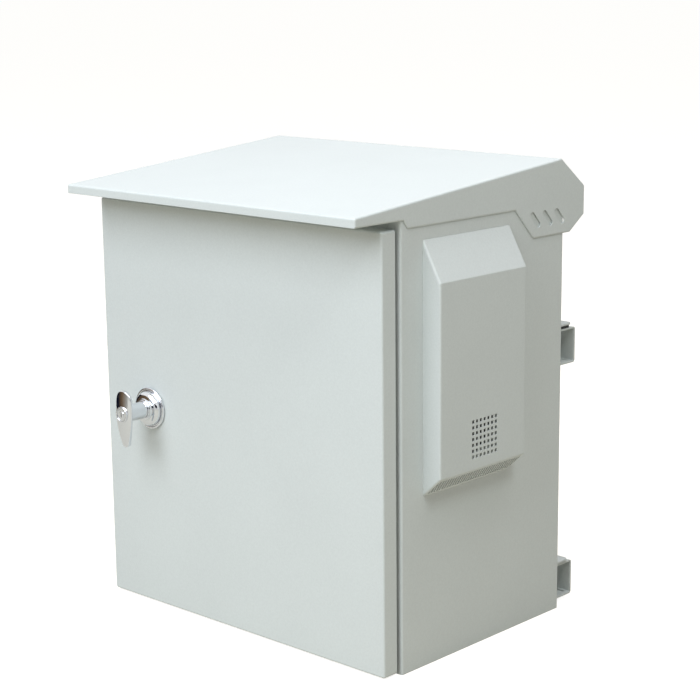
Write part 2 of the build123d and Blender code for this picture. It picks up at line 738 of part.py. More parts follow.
def turned_on_handle(profile):
    """Turn a profile of radius and distance ahead of the rim about the handle's axis."""
    face = face_of([(radius, distance) for radius, distance, _ in profile],
                   [corner for _, _, corner in profile])
    solid = revolve(Plane.XY * face, axis=Axis.Y, revolution_arc=360)
    return Pos(HANDLE_X, FRONT, HANDLE_Z) * Rot(180, 0, 0) * solid


def handle_rose():
    """Bell-shaped cast rose with the threaded housing that passes through the door."""
    foot = DOOR_FACE + ROSE_GASKET
    top = foot + ROSE_H
    bore = SPINDLE_R + RUNNING_GAP
    end = DOOR_FACE - HOUSING_LENGTH
    profile = [
        (bore, end, 0),
        (HOUSING_R, end, 0),
        (HOUSING_R, foot, 0),
        (ROSE_R, foot, 0),
        (ROSE_R, foot + ROSE_RING_H, 1.6),
        (ROSE_R - ROSE_RING_W, foot + ROSE_RING_H, 1.2),
        (ROSE_R - ROSE_RING_W, foot + ROSE_GROOVE, 0),
        (ROSE_DOME_R, foot + ROSE_GROOVE, 0),
        (ROSE_DOME_R - 0.6, foot + ROSE_DOME_H, 7.0),
        (ROSE_COLLAR_R + 0.6, foot + ROSE_DOME_H + 0.8, 0),
        (ROSE_COLLAR_R, foot + ROSE_DOME_H + 2.8, 0.4),
        (ROSE_COLLAR_R - 1.4, foot + ROSE_DOME_H + 3.0, 0),
        (ROSE_COLLAR_R - 1.4, top, 0.5),
        (bore, top, 0),
    ]
    return turned_on_handle(profile)


def rose_gasket():
    """Flat rubber ring between the rose and the door."""
    ring = Pos(HANDLE_X, HANDLE_Z) * (Circle(ROSE_R - 1.5) - Circle(HOUSING_R + SMALL_HOLE_GAP))
    return along_y(ring, ahead(DOOR_FACE + ROSE_GASKET), ahead(DOOR_FACE))


def handle_nut():
    """Hexagon nut that clamps the rose's housing from inside the door."""
    place = (HANDLE_X, HANDLE_Z)
    low, high = ahead(DOOR_INNER), ahead(DOOR_INNER - HANDLE_NUT_H)
    nut = hexagon("Y", place, HANDLE_NUT_AF / 2, low, high)
    return nut - rod("Y", place, HOUSING_R + RUNNING_GAP, low - 1, high + 1)


def grip_outline():
    """Egg-shaped outline of the grip about the handle's axis, in X and Z."""
    half = GRIP_W / 2
    shoulder = GRIP_ABOVE - half
    tip = -GRIP_BELOW + GRIP_TIP_R
    crown = ThreePointArc((-half, shoulder), (0, GRIP_ABOVE), (half, shoulder))
    waist_x, waist_z = GRIP_WAIST
    right = ThreePointArc((half, shoulder), (waist_x, waist_z), (GRIP_TIP_R, tip))
    foot = ThreePointArc((GRIP_TIP_R, tip), (0, -GRIP_BELOW), (-GRIP_TIP_R, tip))
    left = ThreePointArc((-GRIP_TIP_R, tip), (-waist_x, waist_z), (-half, shoulder))
    return make_face([crown.edge(), right.edge(), foot.edge(), left.edge()])


def handle_grip():
    """Cast L-handle: crowned and bowed grip, stem, spindle and the square for the cam."""
    face = DOOR_FACE + GRIP_FACE
    blank = along_y(grip_outline(), -face - 1, -face + 3 * GRIP_THICK)
    ring = Torus(GRIP_BOW_R - GRIP_CROWN_R, GRIP_CROWN_R)
    crown = Pos(0, -face + GRIP_BOW_R, 0) * Rot(0, 90, 0) * ring
    rear = Pos(0, -face + GRIP_THICK + GRIP_BOW_R, 0) * Rot(0, 90, 0)
    grip = (blank & crown) - rear * Cylinder(GRIP_BOW_R, 2 * GRIP_W)
    grip = fillet(grip.solids().sort_by(Axis.Y)[0].edges(), GRIP_EDGE_R)
    grip = Pos(HANDLE_X, FRONT, HANDLE_Z) * grip

    place = (HANDLE_X, HANDLE_Z)
    collar_top = DOOR_FACE + ROSE_GASKET + ROSE_H + SEAT_GAP
    grip += rod("Y", place, PLUG_RING_R, ahead(face + PLUG_RING_H), ahead(face - GRIP_THICK))
    grip += rod("Y", place, STEM_R, ahead(face - GRIP_THICK / 2), ahead(collar_top))
    square_start = DOOR_FACE - HOUSING_LENGTH
    grip += rod("Y", place, SPINDLE_R, ahead(collar_top + 1), ahead(square_start))
    half = SPINDLE_SQUARE / 2
    square_end = CAM_AHEAD - CAM_THICK + 0.4
    square_y = (ahead(square_start + 1), ahead(square_end))
    grip += block((HANDLE_X - half, HANDLE_X + half), square_y, (HANDLE_Z - half, HANDLE_Z + half))

    bore_end = face + PLUG_RING_H - PLUG_DEPTH
    grip -= rod("Y", place, PLUG_R + RUNNING_GAP, ahead(face + 3), ahead(bore_end))
    grip -= rod("Y", place, CAM_SCREW_R + RUNNING_GAP, ahead(square_end + 12), ahead(0))
    return grip


def lock_plug():
    """Key cylinder plug, its face recessed in the grip's ring, with a boss and keyway."""
    ring = DOOR_FACE + GRIP_FACE + PLUG_RING_H
    face = ring - PLUG_RECESS
    place = (HANDLE_X, HANDLE_Z)
    plug = rod("Y", place, PLUG_R, ahead(face), ahead(ring - PLUG_DEPTH + SEAT_GAP))
    plug += rod("Y", place, KEY_BOSS_R, ahead(ring), ahead(face - 1))
    width, height, depth = KEYWAY
    keyway = block((HANDLE_X - width / 2, HANDLE_X + width / 2), (ahead(ring + 1), ahead(ring - depth)),
                   (HANDLE_Z - height / 2, HANDLE_Z + height / 2))
    return plug - keyway


def latch_cam():
    """Cranked cam on the spindle's square, pointing up while unlatched."""
    tip_plane = -SHEET - CAM_BEHIND
    path = [
        (ahead(CAM_AHEAD), -CAM_WIDTH / 2),
        (ahead(CAM_AHEAD), CAM_CRANK[0]),
        (ahead(tip_plane), CAM_CRANK[1]),
        (ahead(tip_plane), CAM_REACH),
    ]
    outline = sheet_outline(path, CAM_THICK, left_side=False, inner_radius=2.0)
    half = CAM_WIDTH / 2
    cam = Pos(HANDLE_X, 0, HANDLE_Z) * along_x(outline, -half, half)
    slot = Pos(HANDLE_X, HANDLE_Z + (CAM_REACH - half) / 2) * Rot(0, 0, 90) * SlotOverall(
        CAM_REACH + half, CAM_WIDTH
    )
    cam &= along_y(slot, ahead(CAM_AHEAD + CAM_THICK), behind(2 * CAM_THICK + CAM_AHEAD))
    hole = SPINDLE_SQUARE / 2 + RUNNING_GAP
    cam -= block(
        (HANDLE_X - hole, HANDLE_X + hole),
        (ahead(CAM_AHEAD + 5), ahead(CAM_AHEAD - CAM_THICK - 1)),
        (HANDLE_Z - hole, HANDLE_Z + hole),
    )
    return cam


def cam_screw():
    """Screw and washer that hold the cam on the spindle."""
    place = (HANDLE_X, HANDLE_Z)
    seat = CAM_AHEAD - CAM_THICK
    screw = rod("Y", place, 9.0, ahead(seat), ahead(seat - 1.6))
    screw += hexagon("Y", place, M6[1], ahead(seat - 1.6), ahead(seat - 1.6 - M6[2]))
    screw += rod("Y", place, CAM_SCREW_R, ahead(seat + 10), ahead(seat))
    return screw


def hood_prism(inset):
    """A hood's wedge-ended block, drawn in by a sheet's thickness."""
    face_x = SIDE + HOOD_DEPTH - inset
    outline = [
        (SIDE, HOOD_BASE_Z[0]),
        (SIDE + HOOD_DEPTH, HOOD_FACE_Z[0]),
        (SIDE + HOOD_DEPTH, HOOD_FACE_Z[1]),
        (SIDE, HOOD_BASE_Z[1]),
    ]
    low_run = hypot(HOOD_DEPTH, HOOD_FACE_Z[0] - HOOD_BASE_Z[0]) / HOOD_DEPTH
    high_run = hypot(HOOD_DEPTH, HOOD_BASE_Z[1] - HOOD_FACE_Z[1]) / HOOD_DEPTH
    low_slope = (HOOD_FACE_Z[0] - HOOD_BASE_Z[0]) / HOOD_DEPTH
    high_slope = (HOOD_BASE_Z[1] - HOOD_FACE_Z[1]) / HOOD_DEPTH
    if inset:
        outline = [
            (SIDE, HOOD_BASE_Z[0] + inset * low_run),
            (face_x, HOOD_FACE_Z[0] + inset * (low_run - low_slope)),
            (face_x, HOOD_FACE_Z[1] - inset * (high_run - high_slope)),
            (SIDE, HOOD_BASE_Z[1] - inset * high_run),
        ]
    half = HOOD_HALF_Y - inset
    prism = along_y(make_face(Polyline(*outline, close=True).edges()),
                    behind(HOOD_MID_Y) - half, behind(HOOD_MID_Y) + half)
    edges = [edge for edge in prism.edges() if edge.center().X > SIDE + 1]
    return fillet(edges, HOOD_EDGE_R - inset)


def hood_right():
    """Vent hood: a folded cover open to the wall, with louvre slots and a hole grid."""
    hood = hood_prism(0) - hood_prism(SHEET)
    half_z = (HOOD_BASE_Z[1] - HOOD_BASE_Z[0]) / 2
    middle = Pos(behind(HOOD_MID_Y), HOOD_BASE_Z[0] + half_z)
    window = 2 * HOOD_FLANGE
    flange = Rectangle(2 * HOOD_HALF_Y - 2, 2 * half_z - 2)
    flange -= RectangleRounded(2 * HOOD_HALF_Y - window, 2 * half_z - window, 4)
    hood += along_x(middle * flange, SIDE, SIDE + SHEET) & hood_prism(0)

    slope = hypot(HOOD_DEPTH, HOOD_FACE_Z[0] - HOOD_BASE_Z[0])
    slope_plane = Plane(
        origin=(SIDE + HOOD_DEPTH / 2, behind(HOOD_MID_Y), (HOOD_BASE_Z[0] + HOOD_FACE_Z[0]) / 2),
        x_dir=(0, 1, 0),
        z_dir=(HOOD_FACE_Z[0] - HOOD_BASE_Z[0], 0, -HOOD_DEPTH),
    )
    field = Rectangle(2 * (HOOD_HALF_Y - LOUVRE_SIDE_MARGIN), slope - 2 * LOUVRE_MARGIN)
    louvre = Rot(0, 0, 90 + LOUVRE_LEAN) * Rectangle(2 * slope, LOUVRE_W)
    count = 2 * int((HOOD_HALF_Y + slope / 2) / LOUVRE_PITCH) + 1
    row = [
        field & Pos((index - (count - 1) / 2) * LOUVRE_PITCH, 0) * louvre
        for index in range(count)
    ]
    hood -= [
        extrude(slope_plane * slot, amount=3 * SHEET, both=True)
        for slot in row
        if slot and slot.area > LOUVRE_LEAST_AREA
    ]

    pitch = (GRID_SIZE - GRID_HOLE) / (GRID_HOLES - 1)
    hole = Rectangle(GRID_HOLE, GRID_HOLE)
    steps = [(index - (GRID_HOLES - 1) / 2) * pitch for index in range(GRID_HOLES)]
    face_x = SIDE + HOOD_DEPTH
    centre = Pos(behind(HOOD_MID_Y + GRID_OFFSET[0]), HOOD_BASE_Z[0] + GRID_OFFSET[1])
    grid = [
        along_x(centre * Pos(y, z) * hole, face_x - 2 * SHEET, face_x + 1)
        for y in steps
        for z in steps
    ]
    hood -= grid
    for place in hood_screw_places():
        hood -= rod("X", place, M5[0] + SMALL_HOLE_GAP, SIDE - 1, SIDE + 2 * SHEET)
    return hood


def hood_screws(side):
    """Screws from inside the wall into nuts on the hood's flange."""
    seat, nut, tip = SIDE - SHEET, SIDE + SHEET, SIDE + SHEET + M5[2] + 2
    screws = [
        bolt("X", place, M5, side * seat, side * tip, side * nut, head_round=True)
        for place in hood_screw_places()
    ]
    return group(screws)


def fan_frame(centre_z):
    """Square fan housing with its duct, motor plate, struts and bearing tube."""
    inner_x, wall_x = SIDE - SHEET - FAN_DEPTH, SIDE - SHEET
    centre = Pos(behind(FAN_CENTRE_Y), centre_z)
    body = RectangleRounded(FAN_SIZE, FAN_SIZE, FAN_CORNER_R) - Circle(FAN_BORE_R)
    half = FAN_HOLE_PITCH / 2
    for y in (-half, half):
        for z in (-half, half):
            body -= Pos(y, z) * Circle(FAN_HOLE_R)
    frame = along_x(centre * body, inner_x, wall_x)

    spider = Circle(FAN_HUB_R)
    for index in range(FAN_STRUTS):
        turn = Rot(0, 0, 45 + index * 360 / FAN_STRUTS)
        spider += turn * Pos(FAN_BORE_R / 2 + 1, 0) * Rectangle(FAN_BORE_R + 2, 5)
    spider &= Circle(FAN_BORE_R + 1)
    frame += along_x(centre * spider, inner_x, inner_x + FAN_MOTOR_PLATE)
    tube_end = inner_x + FAN_DEPTH * 0.6
    place = (behind(FAN_CENTRE_Y), centre_z)
    frame += rod("X", place, FAN_SHAFT_R + 2.5, inner_x, tube_end)
    frame -= rod("X", place, FAN_SHAFT_R + RUNNING_GAP, inner_x + 1, tube_end + 1)
    return frame


def fan_rotor(centre_z):
    """Fan wheel: cup-shaped hub, shaft and twisted blades."""
    inner_x, wall_x = SIDE - SHEET - FAN_DEPTH, SIDE - SHEET
    place = (behind(FAN_CENTRE_Y), centre_z)
    low, high = inner_x + FAN_MOTOR_PLATE + 1, wall_x - 2
    hub = rod("X", place, FAN_HUB_R, low, high)
    hub -= rod("X", place, FAN_HUB_R - 2, low - 1, high - 2.5)
    hub += rod("X", place, FAN_SHAFT_R, inner_x + 1 + SEAT_GAP, high - 1)

    tip_r = FAN_BORE_R - FAN_TIP_GAP
    middle = (low + high) / 2
    chord = high - low - 3
    root = blade_section(FAN_HUB_R - 1, chord, FAN_PITCH_DEGREES[0])
    outer = blade_section(tip_r + 2, chord * 1.25, FAN_PITCH_DEGREES[1])
    blade = loft([root, outer], ruled=True)
    blade &= Rot(0, 90, 0) * Cylinder(tip_r, high - low - 1)
    for index in range(FAN_BLADES):
        turned = Rot(index * 360 / FAN_BLADES, 0, 0) * blade
        hub += Pos(middle, *place) * turned
    return hub


def blade_section(radius, chord, pitch):
    """A blade's thin curved section on a plane square to the radius."""
    half = chord / 2
    camber = chord * 0.1
    upper = ThreePointArc((-half, 0), (0, camber + FAN_BLADE / 2), (half, 0))
    lower = ThreePointArc((half, -FAN_BLADE / 2), (0, camber - FAN_BLADE / 2), (-half, -FAN_BLADE / 2))
    first = Line(upper @ 1, lower @ 0)
    last = Line(lower @ 1, upper @ 0)
    face = make_face([upper.edge(), first.edge(), lower.edge(), last.edge()])
    plane = Plane(origin=(0, 0, radius), x_dir=(sin(radians(pitch)), cos(radians(pitch)), 0),
                  z_dir=(0, 0, 1))
    return plane * face


def fan_guard(centre_z):
    """Round finger guard on the fan's inner side, with legs to the corner screws."""
    half = FAN_HOLE_PITCH / 2
    wire = GUARD_WIRE / 2
    start = FAN_HUB_R
    pitch = (FAN_BORE_R - FAN_WALL - start) / (GUARD_RING_COUNT - 1)
    guard = Sketch()
    for index in range(GUARD_RING_COUNT):
        radius = start + index * pitch
        guard += Circle(radius + wire) - Circle(radius - wire)
    reach = hypot(half, half)
    for index in range(4):
        turn = Rot(0, 0, 45 + index * 90)
        guard += turn * Pos((start + reach) / 2, 0) * Rectangle(reach - start, GUARD_WIRE)
        guard += turn * Pos(reach, 0) * Circle(4.0)
    for index in range(4):
        guard -= Rot(0, 0, 45 + index * 90) * Pos(reach, 0) * Circle(FAN_HOLE_R)
    seat = SIDE - SHEET - FAN_DEPTH
    placed = Pos(behind(FAN_CENTRE_Y), centre_z) * guard
    return along_x(placed, seat - GUARD_WIRE, seat)


def fan_screws():
    """Corner screws through guard, fan and wall, with nuts inside the hood."""
    seat = SIDE - SHEET - FAN_DEPTH - GUARD_WIRE
    tip = SIDE + M4[2] + 1.5
    return group([
        bolt("X", place, M4, seat, tip, SIDE, head_round=True) for place in fan_screw_places()
    ])


def filter_mat():
    """Fibre mat in front of the intake slots."""
    mat = Pos(behind(FILTER_Y), FILTER_Z) * Rectangle(*FILTER_SIZE)
    return along_x(mat, -SIDE + SHEET, -SIDE + SHEET + FILTER_THICK)


def filter_frame():
    """Folded retaining frame that holds the mat against the wall."""
    wall = -SIDE + SHEET
    depth = FILTER_THICK + SEAT_GAP
    outer = (FILTER_SIZE[0] + 2 * FILTER_WALL, FILTER_SIZE[1] + 2 * FILTER_WALL)
    centre = Pos(behind(FILTER_Y), FILTER_Z)
    frame = along_x(centre * Rectangle(*outer), wall, wall + depth + FILTER_WALL)
    frame -= along_x(centre * Rectangle(*FILTER_SIZE), wall - 1, wall + depth)
    window = (FILTER_SIZE[0] - 2 * FILTER_LIP, FILTER_SIZE[1] - 2 * FILTER_LIP)
    frame -= along_x(centre * RectangleRounded(*window, 5), wall, wall + depth + 5)
    for y, z in filter_screw_places():
        tab = Pos(y, z) * RectangleRounded(2 * FILTER_TAB, FILTER_TAB + 0.4, 2)
        frame += along_x(tab, wall, wall + FILTER_WALL)
        frame -= rod("X", (y, z), M4[0] + SMALL_HOLE_GAP, wall - 1, wall + 2 * FILTER_WALL)
    return frame


def filter_screws():
    """Screws through the frame's tabs, with nuts inside the left hood."""
    seat = -SIDE + SHEET + FILTER_WALL
    return group([
        bolt("X", place, M4, seat, -SIDE - M4[2] - 1, -SIDE, head_round=True)
        for place in filter_screw_places()
    ])


def rack_rail(side):
    """Upright 19 inch rail with square holes and a flange for the side channels."""
    front = behind(RAIL_SETBACK)
    path = [
        (side * RAIL_INNER_X, front),
        (side * RAIL_OUTER_X, front),
        (side * RAIL_OUTER_X, front + RAIL_DEPTH),
    ]
    outline = sheet_outline(path, RAIL_SHEET, left_side=side > 0)
    rail = along_z(outline, RAIL_Z0 - RAIL_END, RAIL_TOP)
    hole = Rectangle(RAIL_HOLE, RAIL_HOLE)
    hole_x = side * (RAIL_INNER_X + RAIL_HOLE_INSET)
    cutters = [
        along_y(Pos(hole_x, RAIL_Z0 + unit * UNIT + step) * hole,
                front - 1, front + 2 * RAIL_SHEET)
        for unit in range(RACK_UNITS)
        for step in RAIL_HOLE_STEPS
    ]
    rail -= cutters
    low, high = sorted((side * (RAIL_OUTER_X - 2 * RAIL_SHEET), side * (RAIL_OUTER_X + 1)))
    for y, z, _ in rail_bolt_places(side):
        rail -= rod("X", (y, z), M6[0] + SMALL_HOLE_GAP, low, high)
    return rail


def side_channel(side, centre_z):
    """Channel along a side wall that carries the rails, its web towards them."""
    half = SIDE_CHANNEL_H / 2
    wall = side * (SIDE - SHEET)
    web = side * RAIL_OUTER_X
    path = [(wall, centre_z - half), (web, centre_z - half), (web, centre_z + half),
            (wall, centre_z + half)]
    outline = sheet_outline(path, SHEET, left_side=side < 0)
    channel = along_y(outline, behind(SIDE_CHANNEL_START), BACK - SIDE_CHANNEL_INSET)
    low, high = sorted((web - side, web + side * 2 * SHEET))
    slot_w = 2 * (M6[0] + SMALL_HOLE_GAP)
    for y, z, _ in rail_bolt_places(side):
        if abs(z - centre_z) < half:
            channel -= along_x(Pos(y, z) * SlotOverall(4 * slot_w, slot_w), low, high)
    return channel


def rail_bolts():
    """Bolts through the rails into nuts inside the side channels."""
    seat, nut = RAIL_OUTER_X - RAIL_SHEET, RAIL_OUTER_X + SHEET
    tip = nut + M6[2] + 1
    return group([
        bolt("X", (y, z), M6, side * seat, side * tip, side * nut)
        for side in (-1, 1)
        for y, z, _ in rail_bolt_places(side)
    ])


def entry_plate():
    """Removable plate over the cable entry, with two holes for grommets."""
    width, depth = ENTRY_OPENING[0] + 2 * ENTRY_LAP, ENTRY_OPENING[1] + 2 * ENTRY_LAP
    plate = Pos(0, behind(ENTRY_BEHIND)) * RectangleRounded(width, depth, 4)
    for side in (-1, 1):
        plate -= Pos(side * GROMMET_X, behind(ENTRY_BEHIND)) * Circle(GROMMET_HOLE_R)
    for place in entry_screw_places():
        plate -= Pos(*place) * Circle(M5[0] + SMALL_HOLE_GAP)
    seat = SHEET + ENTRY_GASKET
    return along_z(plate, seat, seat + SHEET)


def entry_gasket():
    """Flat seal under the cable entry plate."""
    width, depth = ENTRY_OPENING[0] + 2 * ENTRY_LAP, ENTRY_OPENING[1] + 2 * ENTRY_LAP
    ring = RectangleRounded(width, depth, 4) - RectangleRounded(*ENTRY_OPENING, 6)
    ring = Pos(0, behind(ENTRY_BEHIND)) * ring
    for place in entry_screw_places():
        ring -= Pos(*place) * Circle(M5[0] + SMALL_HOLE_GAP)
    return along_z(ring, SHEET, SHEET + ENTRY_GASKET)


def entry_screws():
    """Screws down through the entry plate into the base."""
    seat = 2 * SHEET + ENTRY_GASKET
    return group([
        bolt("Z", place, M5, seat, 0.3, head_round=True) for place in entry_screw_places()
    ])


def cable_grommet(side):
    """Rubber membrane grommet snapped into the entry plate."""
    neck = GROMMET_HOLE_R - RUNNING_GAP
    flange = GROMMET_HOLE_R + GROMMET_LAP
    low, high = SHEET + ENTRY_GASKET, 2 * SHEET + ENTRY_GASKET
    profile = [
        (0, low - GROMMET_LIP),
        (flange, low - GROMMET_LIP),
        (flange, low),
        (neck, low),
        (neck, high),
        (flange, high),
        (flange - 1, high + GROMMET_LIP),
        (neck * 0.6, high + GROMMET_DOME),
        (0, high + GROMMET_DOME),
    ]
    face = make_face(Polyline(*profile, close=True).edges())
    turned = revolve(Plane.XZ * face, axis=Axis.Z, revolution_arc=360)
    return Pos(side * GROMMET_X, behind(ENTRY_BEHIND), 0) * turned


def earth_stud(origin, plane):
    """Welded stud with two washers and two nuts, standing on a plane."""
    upright = (Align.CENTER, Align.CENTER, Align.MIN)
    stud = Cylinder(M8[0], STUD_LENGTH, align=upright)
    for seat in (0.0, STUD_WASHER + STUD_NUT):
        washer = Cylinder(2 * M8[0], STUD_WASHER, align=upright)
        nut = extrude(RegularPolygon(M8[1], 6, major_radius=False), amount=STUD_NUT)
        stud += Pos(0, 0, seat) * washer + Pos(0, 0, seat + STUD_WASHER) * nut
    return Pos(*origin) * (plane * stud)


def pole_channel(centre_z):
    """U-shaped channel across the back, its web to the pole or wall."""
    half = CHANNEL_H / 2
    rear = BACK + CHANNEL_DEPTH
    path = [(BACK, centre_z - half), (rear, centre_z - half), (rear, centre_z + half),
            (BACK, centre_z + half)]
    outline = sheet_outline(path, CHANNEL_SHEET, left_side=True)
    channel = along_x(outline, -CHANNEL_LENGTH / 2, CHANNEL_LENGTH / 2)
    span = (rear - 2 * CHANNEL_SHEET, rear + 1)
    for side in (-1, 1):
        slot_x = side * (CHANNEL_LENGTH / 2 - CHANNEL_SLOT_INSET)
        slot = Pos(slot_x, centre_z) * SlotOverall(*CHANNEL_SLOT)
        channel -= along_y(slot, *span)
        channel -= rod("Y", (side * CHANNEL_HOLE_X, centre_z), CHANNEL_HOLE_R, *span)
        place = (side * EAR_X, BACK + CHANNEL_BOLT_Y)
        top = centre_z + half
        channel -= rod("Z", place, M8[0] + SMALL_HOLE_GAP, top - 2 * CHANNEL_SHEET, top + 1)
        slot_x = side * (CHANNEL_LENGTH / 2 - FLANGE_SLOT_INSET)
        slot_y = rear - 2 * CHANNEL_SHEET - FLANGE_SLOT[1] / 2
        slot = Pos(slot_x, slot_y) * SlotOverall(*FLANGE_SLOT)
        channel -= along_z(slot, centre_z - half - 1, top + 1)
    return channel


def mounting_ear(side, channel_z, gap):
    """Angle on the body's back, with a rounded leg above the channel."""
    seat = channel_z + CHANNEL_H / 2 + gap
    path = [(BACK + EAR_DEPTH, seat), (BACK, seat), (BACK, seat + EAR_H)]
    outline = sheet_outline(path, EAR_SHEET, left_side=False)
    middle = side * EAR_X
    ear = along_x(outline, middle - EAR_W / 2, middle + EAR_W / 2)
    rear_edges = [
        edge for edge in ear.edges().filter_by(Axis.Z)
        if edge.center().Y > BACK + EAR_DEPTH - 0.01
    ]
    ear = fillet(rear_edges, EAR_CORNER_R)
    place = (middle, BACK + CHANNEL_BOLT_Y)
    ear -= rod("Z", place, M8[0] + SMALL_HOLE_GAP, seat - 1, seat + 2 * EAR_SHEET)
    for x, z in ear_bolt_places():
        ear -= rod("Y", (x, z), M8[0] + SMALL_HOLE_GAP, BACK - 1, BACK + 2 * EAR_SHEET)
    return ear


def ear_bolts():
    """Bolts through the ears and the body's back, with nuts inside."""
    seat, nut = BACK + EAR_SHEET, BACK - SHEET
    tip = nut - M8[2] - 2
    return group([bolt("Y", place, M8, seat, tip, nut) for place in ear_bolt_places()])


def channel_bolts():
    """Upright bolts that hang each channel from its two ears."""
    bolts = []
    for channel_z, gap in zip(CHANNEL_Z, EAR_GAP):
        top = channel_z + CHANNEL_H / 2
        nut = top - CHANNEL_SHEET
        head = top + gap + EAR_SHEET
        for side in (-1, 1):
            place = (side * EAR_X, BACK + CHANNEL_BOLT_Y)
            bolts.append(bolt("Z", place, M8, head, nut - M8[2] - 2, nut))
    return group(bolts)


def ear_spacers():
    """Rubber pads between the channels and their ears, one to each bolt."""
    pads = []
    for channel_z, gap in zip(CHANNEL_Z, EAR_GAP):
        top = channel_z + CHANNEL_H / 2
        for side in (-1, 1):
            place = (side * EAR_X, BACK + CHANNEL_BOLT_Y)
            pad = Pos(*place) * Rectangle(*EAR_PAD)
            pad -= Pos(*place) * Circle(M8[0] + SMALL_HOLE_GAP)
            pads.append(along_z(pad, top, top + gap))
    return group(pads)


def build_nodes():
    """Every piece of the cabinet, by node name."""
    right_hood = hood_right()
    nodes = {
        "body_shell": body_shell(),
        "top_panel": top_panel(),
        "base_panel": base_panel(),
        "canopy": canopy(),
        "canopy_bracket_front": canopy_bracket(BRACKET_Y[0]),
        "canopy_bracket_rear": canopy_bracket(BRACKET_Y[1]),
        "canopy_bolts": canopy_bolts(),
        "door_panel": door_panel(),
        "door_gasket": door_gasket(),
        "handle_rose": handle_rose(),
        "rose_gasket": rose_gasket(),
        "handle_nut": handle_nut(),
        "handle_grip": handle_grip(),
        "lock_plug": lock_plug(),
        "latch_cam": latch_cam(),
        "cam_screw": cam_screw(),
        "hood_right": right_hood,
        "hood_left": mirror(right_hood, about=Plane.YZ),
        "hood_screws_right": hood_screws(1),
        "hood_screws_left": hood_screws(-1),
        "fan_screws": fan_screws(),
        "filter_mat": filter_mat(),
        "filter_frame": filter_frame(),
        "filter_screws": filter_screws(),
        "rail_bolts": rail_bolts(),
        "cable_entry_plate": entry_plate(),
        "cable_entry_gasket": entry_gasket(),
        "cable_entry_screws": entry_screws(),
        "ear_bolts": ear_bolts(),
        "channel_bolts": channel_bolts(),
        "ear_spacers": ear_spacers(),
        "earth_stud_body": earth_stud(
            (STUD_BODY_INSET - SIDE, behind(STUD_BODY_BEHIND), SHEET), Plane.XY
        ),
        "earth_stud_door": earth_stud(
            (DOOR_W / 2 - STUD_DOOR_INSET, ahead(DOOR_INNER), STUD_DOOR_Z), Plane.XZ.reverse()
        ),
    }
    levels = ("lower", "upper")
    for level, hinge_z, fan_z, channel_z, gap, side_z in zip(
        levels, HINGE_Z, FAN_CENTRE_Z, CHANNEL_Z, EAR_GAP, SIDE_CHANNEL_Z
    ):
        nodes[f"hinge_leaf_body_{level}"] = hinge_leaf_body(hinge_z)
        nodes[f"hinge_leaf_door_{level}"] = hinge_leaf_door(hinge_z)
        nodes[f"hinge_pin_{level}"] = hinge_pin(hinge_z)
        nodes[f"fan_frame_{level}"] = fan_frame(fan_z)
        nodes[f"fan_rotor_{level}"] = fan_rotor(fan_z)
        nodes[f"fan_guard_{level}"] = fan_guard(fan_z)
        nodes[f"pole_channel_{level}"] = pole_channel(channel_z)
        for hand, side in (("left", -1), ("right", 1)):
            nodes[f"mounting_ear_{level}_{hand}"] = mounting_ear(side, channel_z, gap)
            nodes[f"side_channel_{level}_{hand}"] = side_channel(side, side_z)
    for hand, side in (("left", -1), ("right", 1)):
        nodes[f"rack_rail_{hand}"] = rack_rail(side)
        nodes[f"cable_grommet_{hand}"] = cable_grommet(side)
    return nodes


os.makedirs("parts", exist_ok=True)
for node_name, node_shape in build_nodes().items():
    export_step(node_shape, f"parts/{node_name}.step")
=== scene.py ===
import json
from math import cos, pi, radians, sin, sqrt

import bmesh
import bpy
from bpy.props import FloatProperty, FloatVectorProperty, PointerProperty
from mathutils import Matrix, Vector, noise


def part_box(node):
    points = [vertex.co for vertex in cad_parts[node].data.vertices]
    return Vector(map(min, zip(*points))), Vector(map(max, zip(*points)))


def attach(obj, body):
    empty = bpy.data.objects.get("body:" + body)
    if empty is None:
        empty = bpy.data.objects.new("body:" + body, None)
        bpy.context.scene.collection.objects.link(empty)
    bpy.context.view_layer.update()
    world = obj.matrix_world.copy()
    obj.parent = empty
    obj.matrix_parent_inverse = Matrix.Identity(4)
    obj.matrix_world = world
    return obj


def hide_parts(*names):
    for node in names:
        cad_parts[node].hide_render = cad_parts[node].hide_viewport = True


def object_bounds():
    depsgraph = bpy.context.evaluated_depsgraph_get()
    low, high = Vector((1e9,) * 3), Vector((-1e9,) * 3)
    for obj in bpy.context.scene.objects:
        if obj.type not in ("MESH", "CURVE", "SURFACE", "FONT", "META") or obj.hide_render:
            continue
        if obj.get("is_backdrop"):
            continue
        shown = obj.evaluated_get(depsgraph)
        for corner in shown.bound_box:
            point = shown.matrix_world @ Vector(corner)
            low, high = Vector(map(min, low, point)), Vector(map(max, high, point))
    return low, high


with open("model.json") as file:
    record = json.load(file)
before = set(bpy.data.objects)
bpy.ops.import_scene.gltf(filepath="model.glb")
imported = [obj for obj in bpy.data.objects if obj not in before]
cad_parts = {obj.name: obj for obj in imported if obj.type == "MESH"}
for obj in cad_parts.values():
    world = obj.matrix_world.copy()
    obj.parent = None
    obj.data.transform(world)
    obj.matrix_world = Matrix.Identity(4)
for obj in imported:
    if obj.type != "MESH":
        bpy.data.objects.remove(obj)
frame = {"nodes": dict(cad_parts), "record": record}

bl_info = {
    "name": "Outdoor equipment cabinet",
    "version": (1, 0, 0),
    "blender": (4, 5, 0),
    "location": "3D View > Sidebar > Cabinet",
    "description": "Finishes, soft seals, wire guards and studio for a sheet steel cabinet",
    "category": "Object",
}

MM = 0.001
LEVELS = ("lower", "upper")
SIDES = ("left", "right")
SLOT_OF_NODE = {part["node"]: part["material_slot"] for part in frame["record"]["subparts"]}

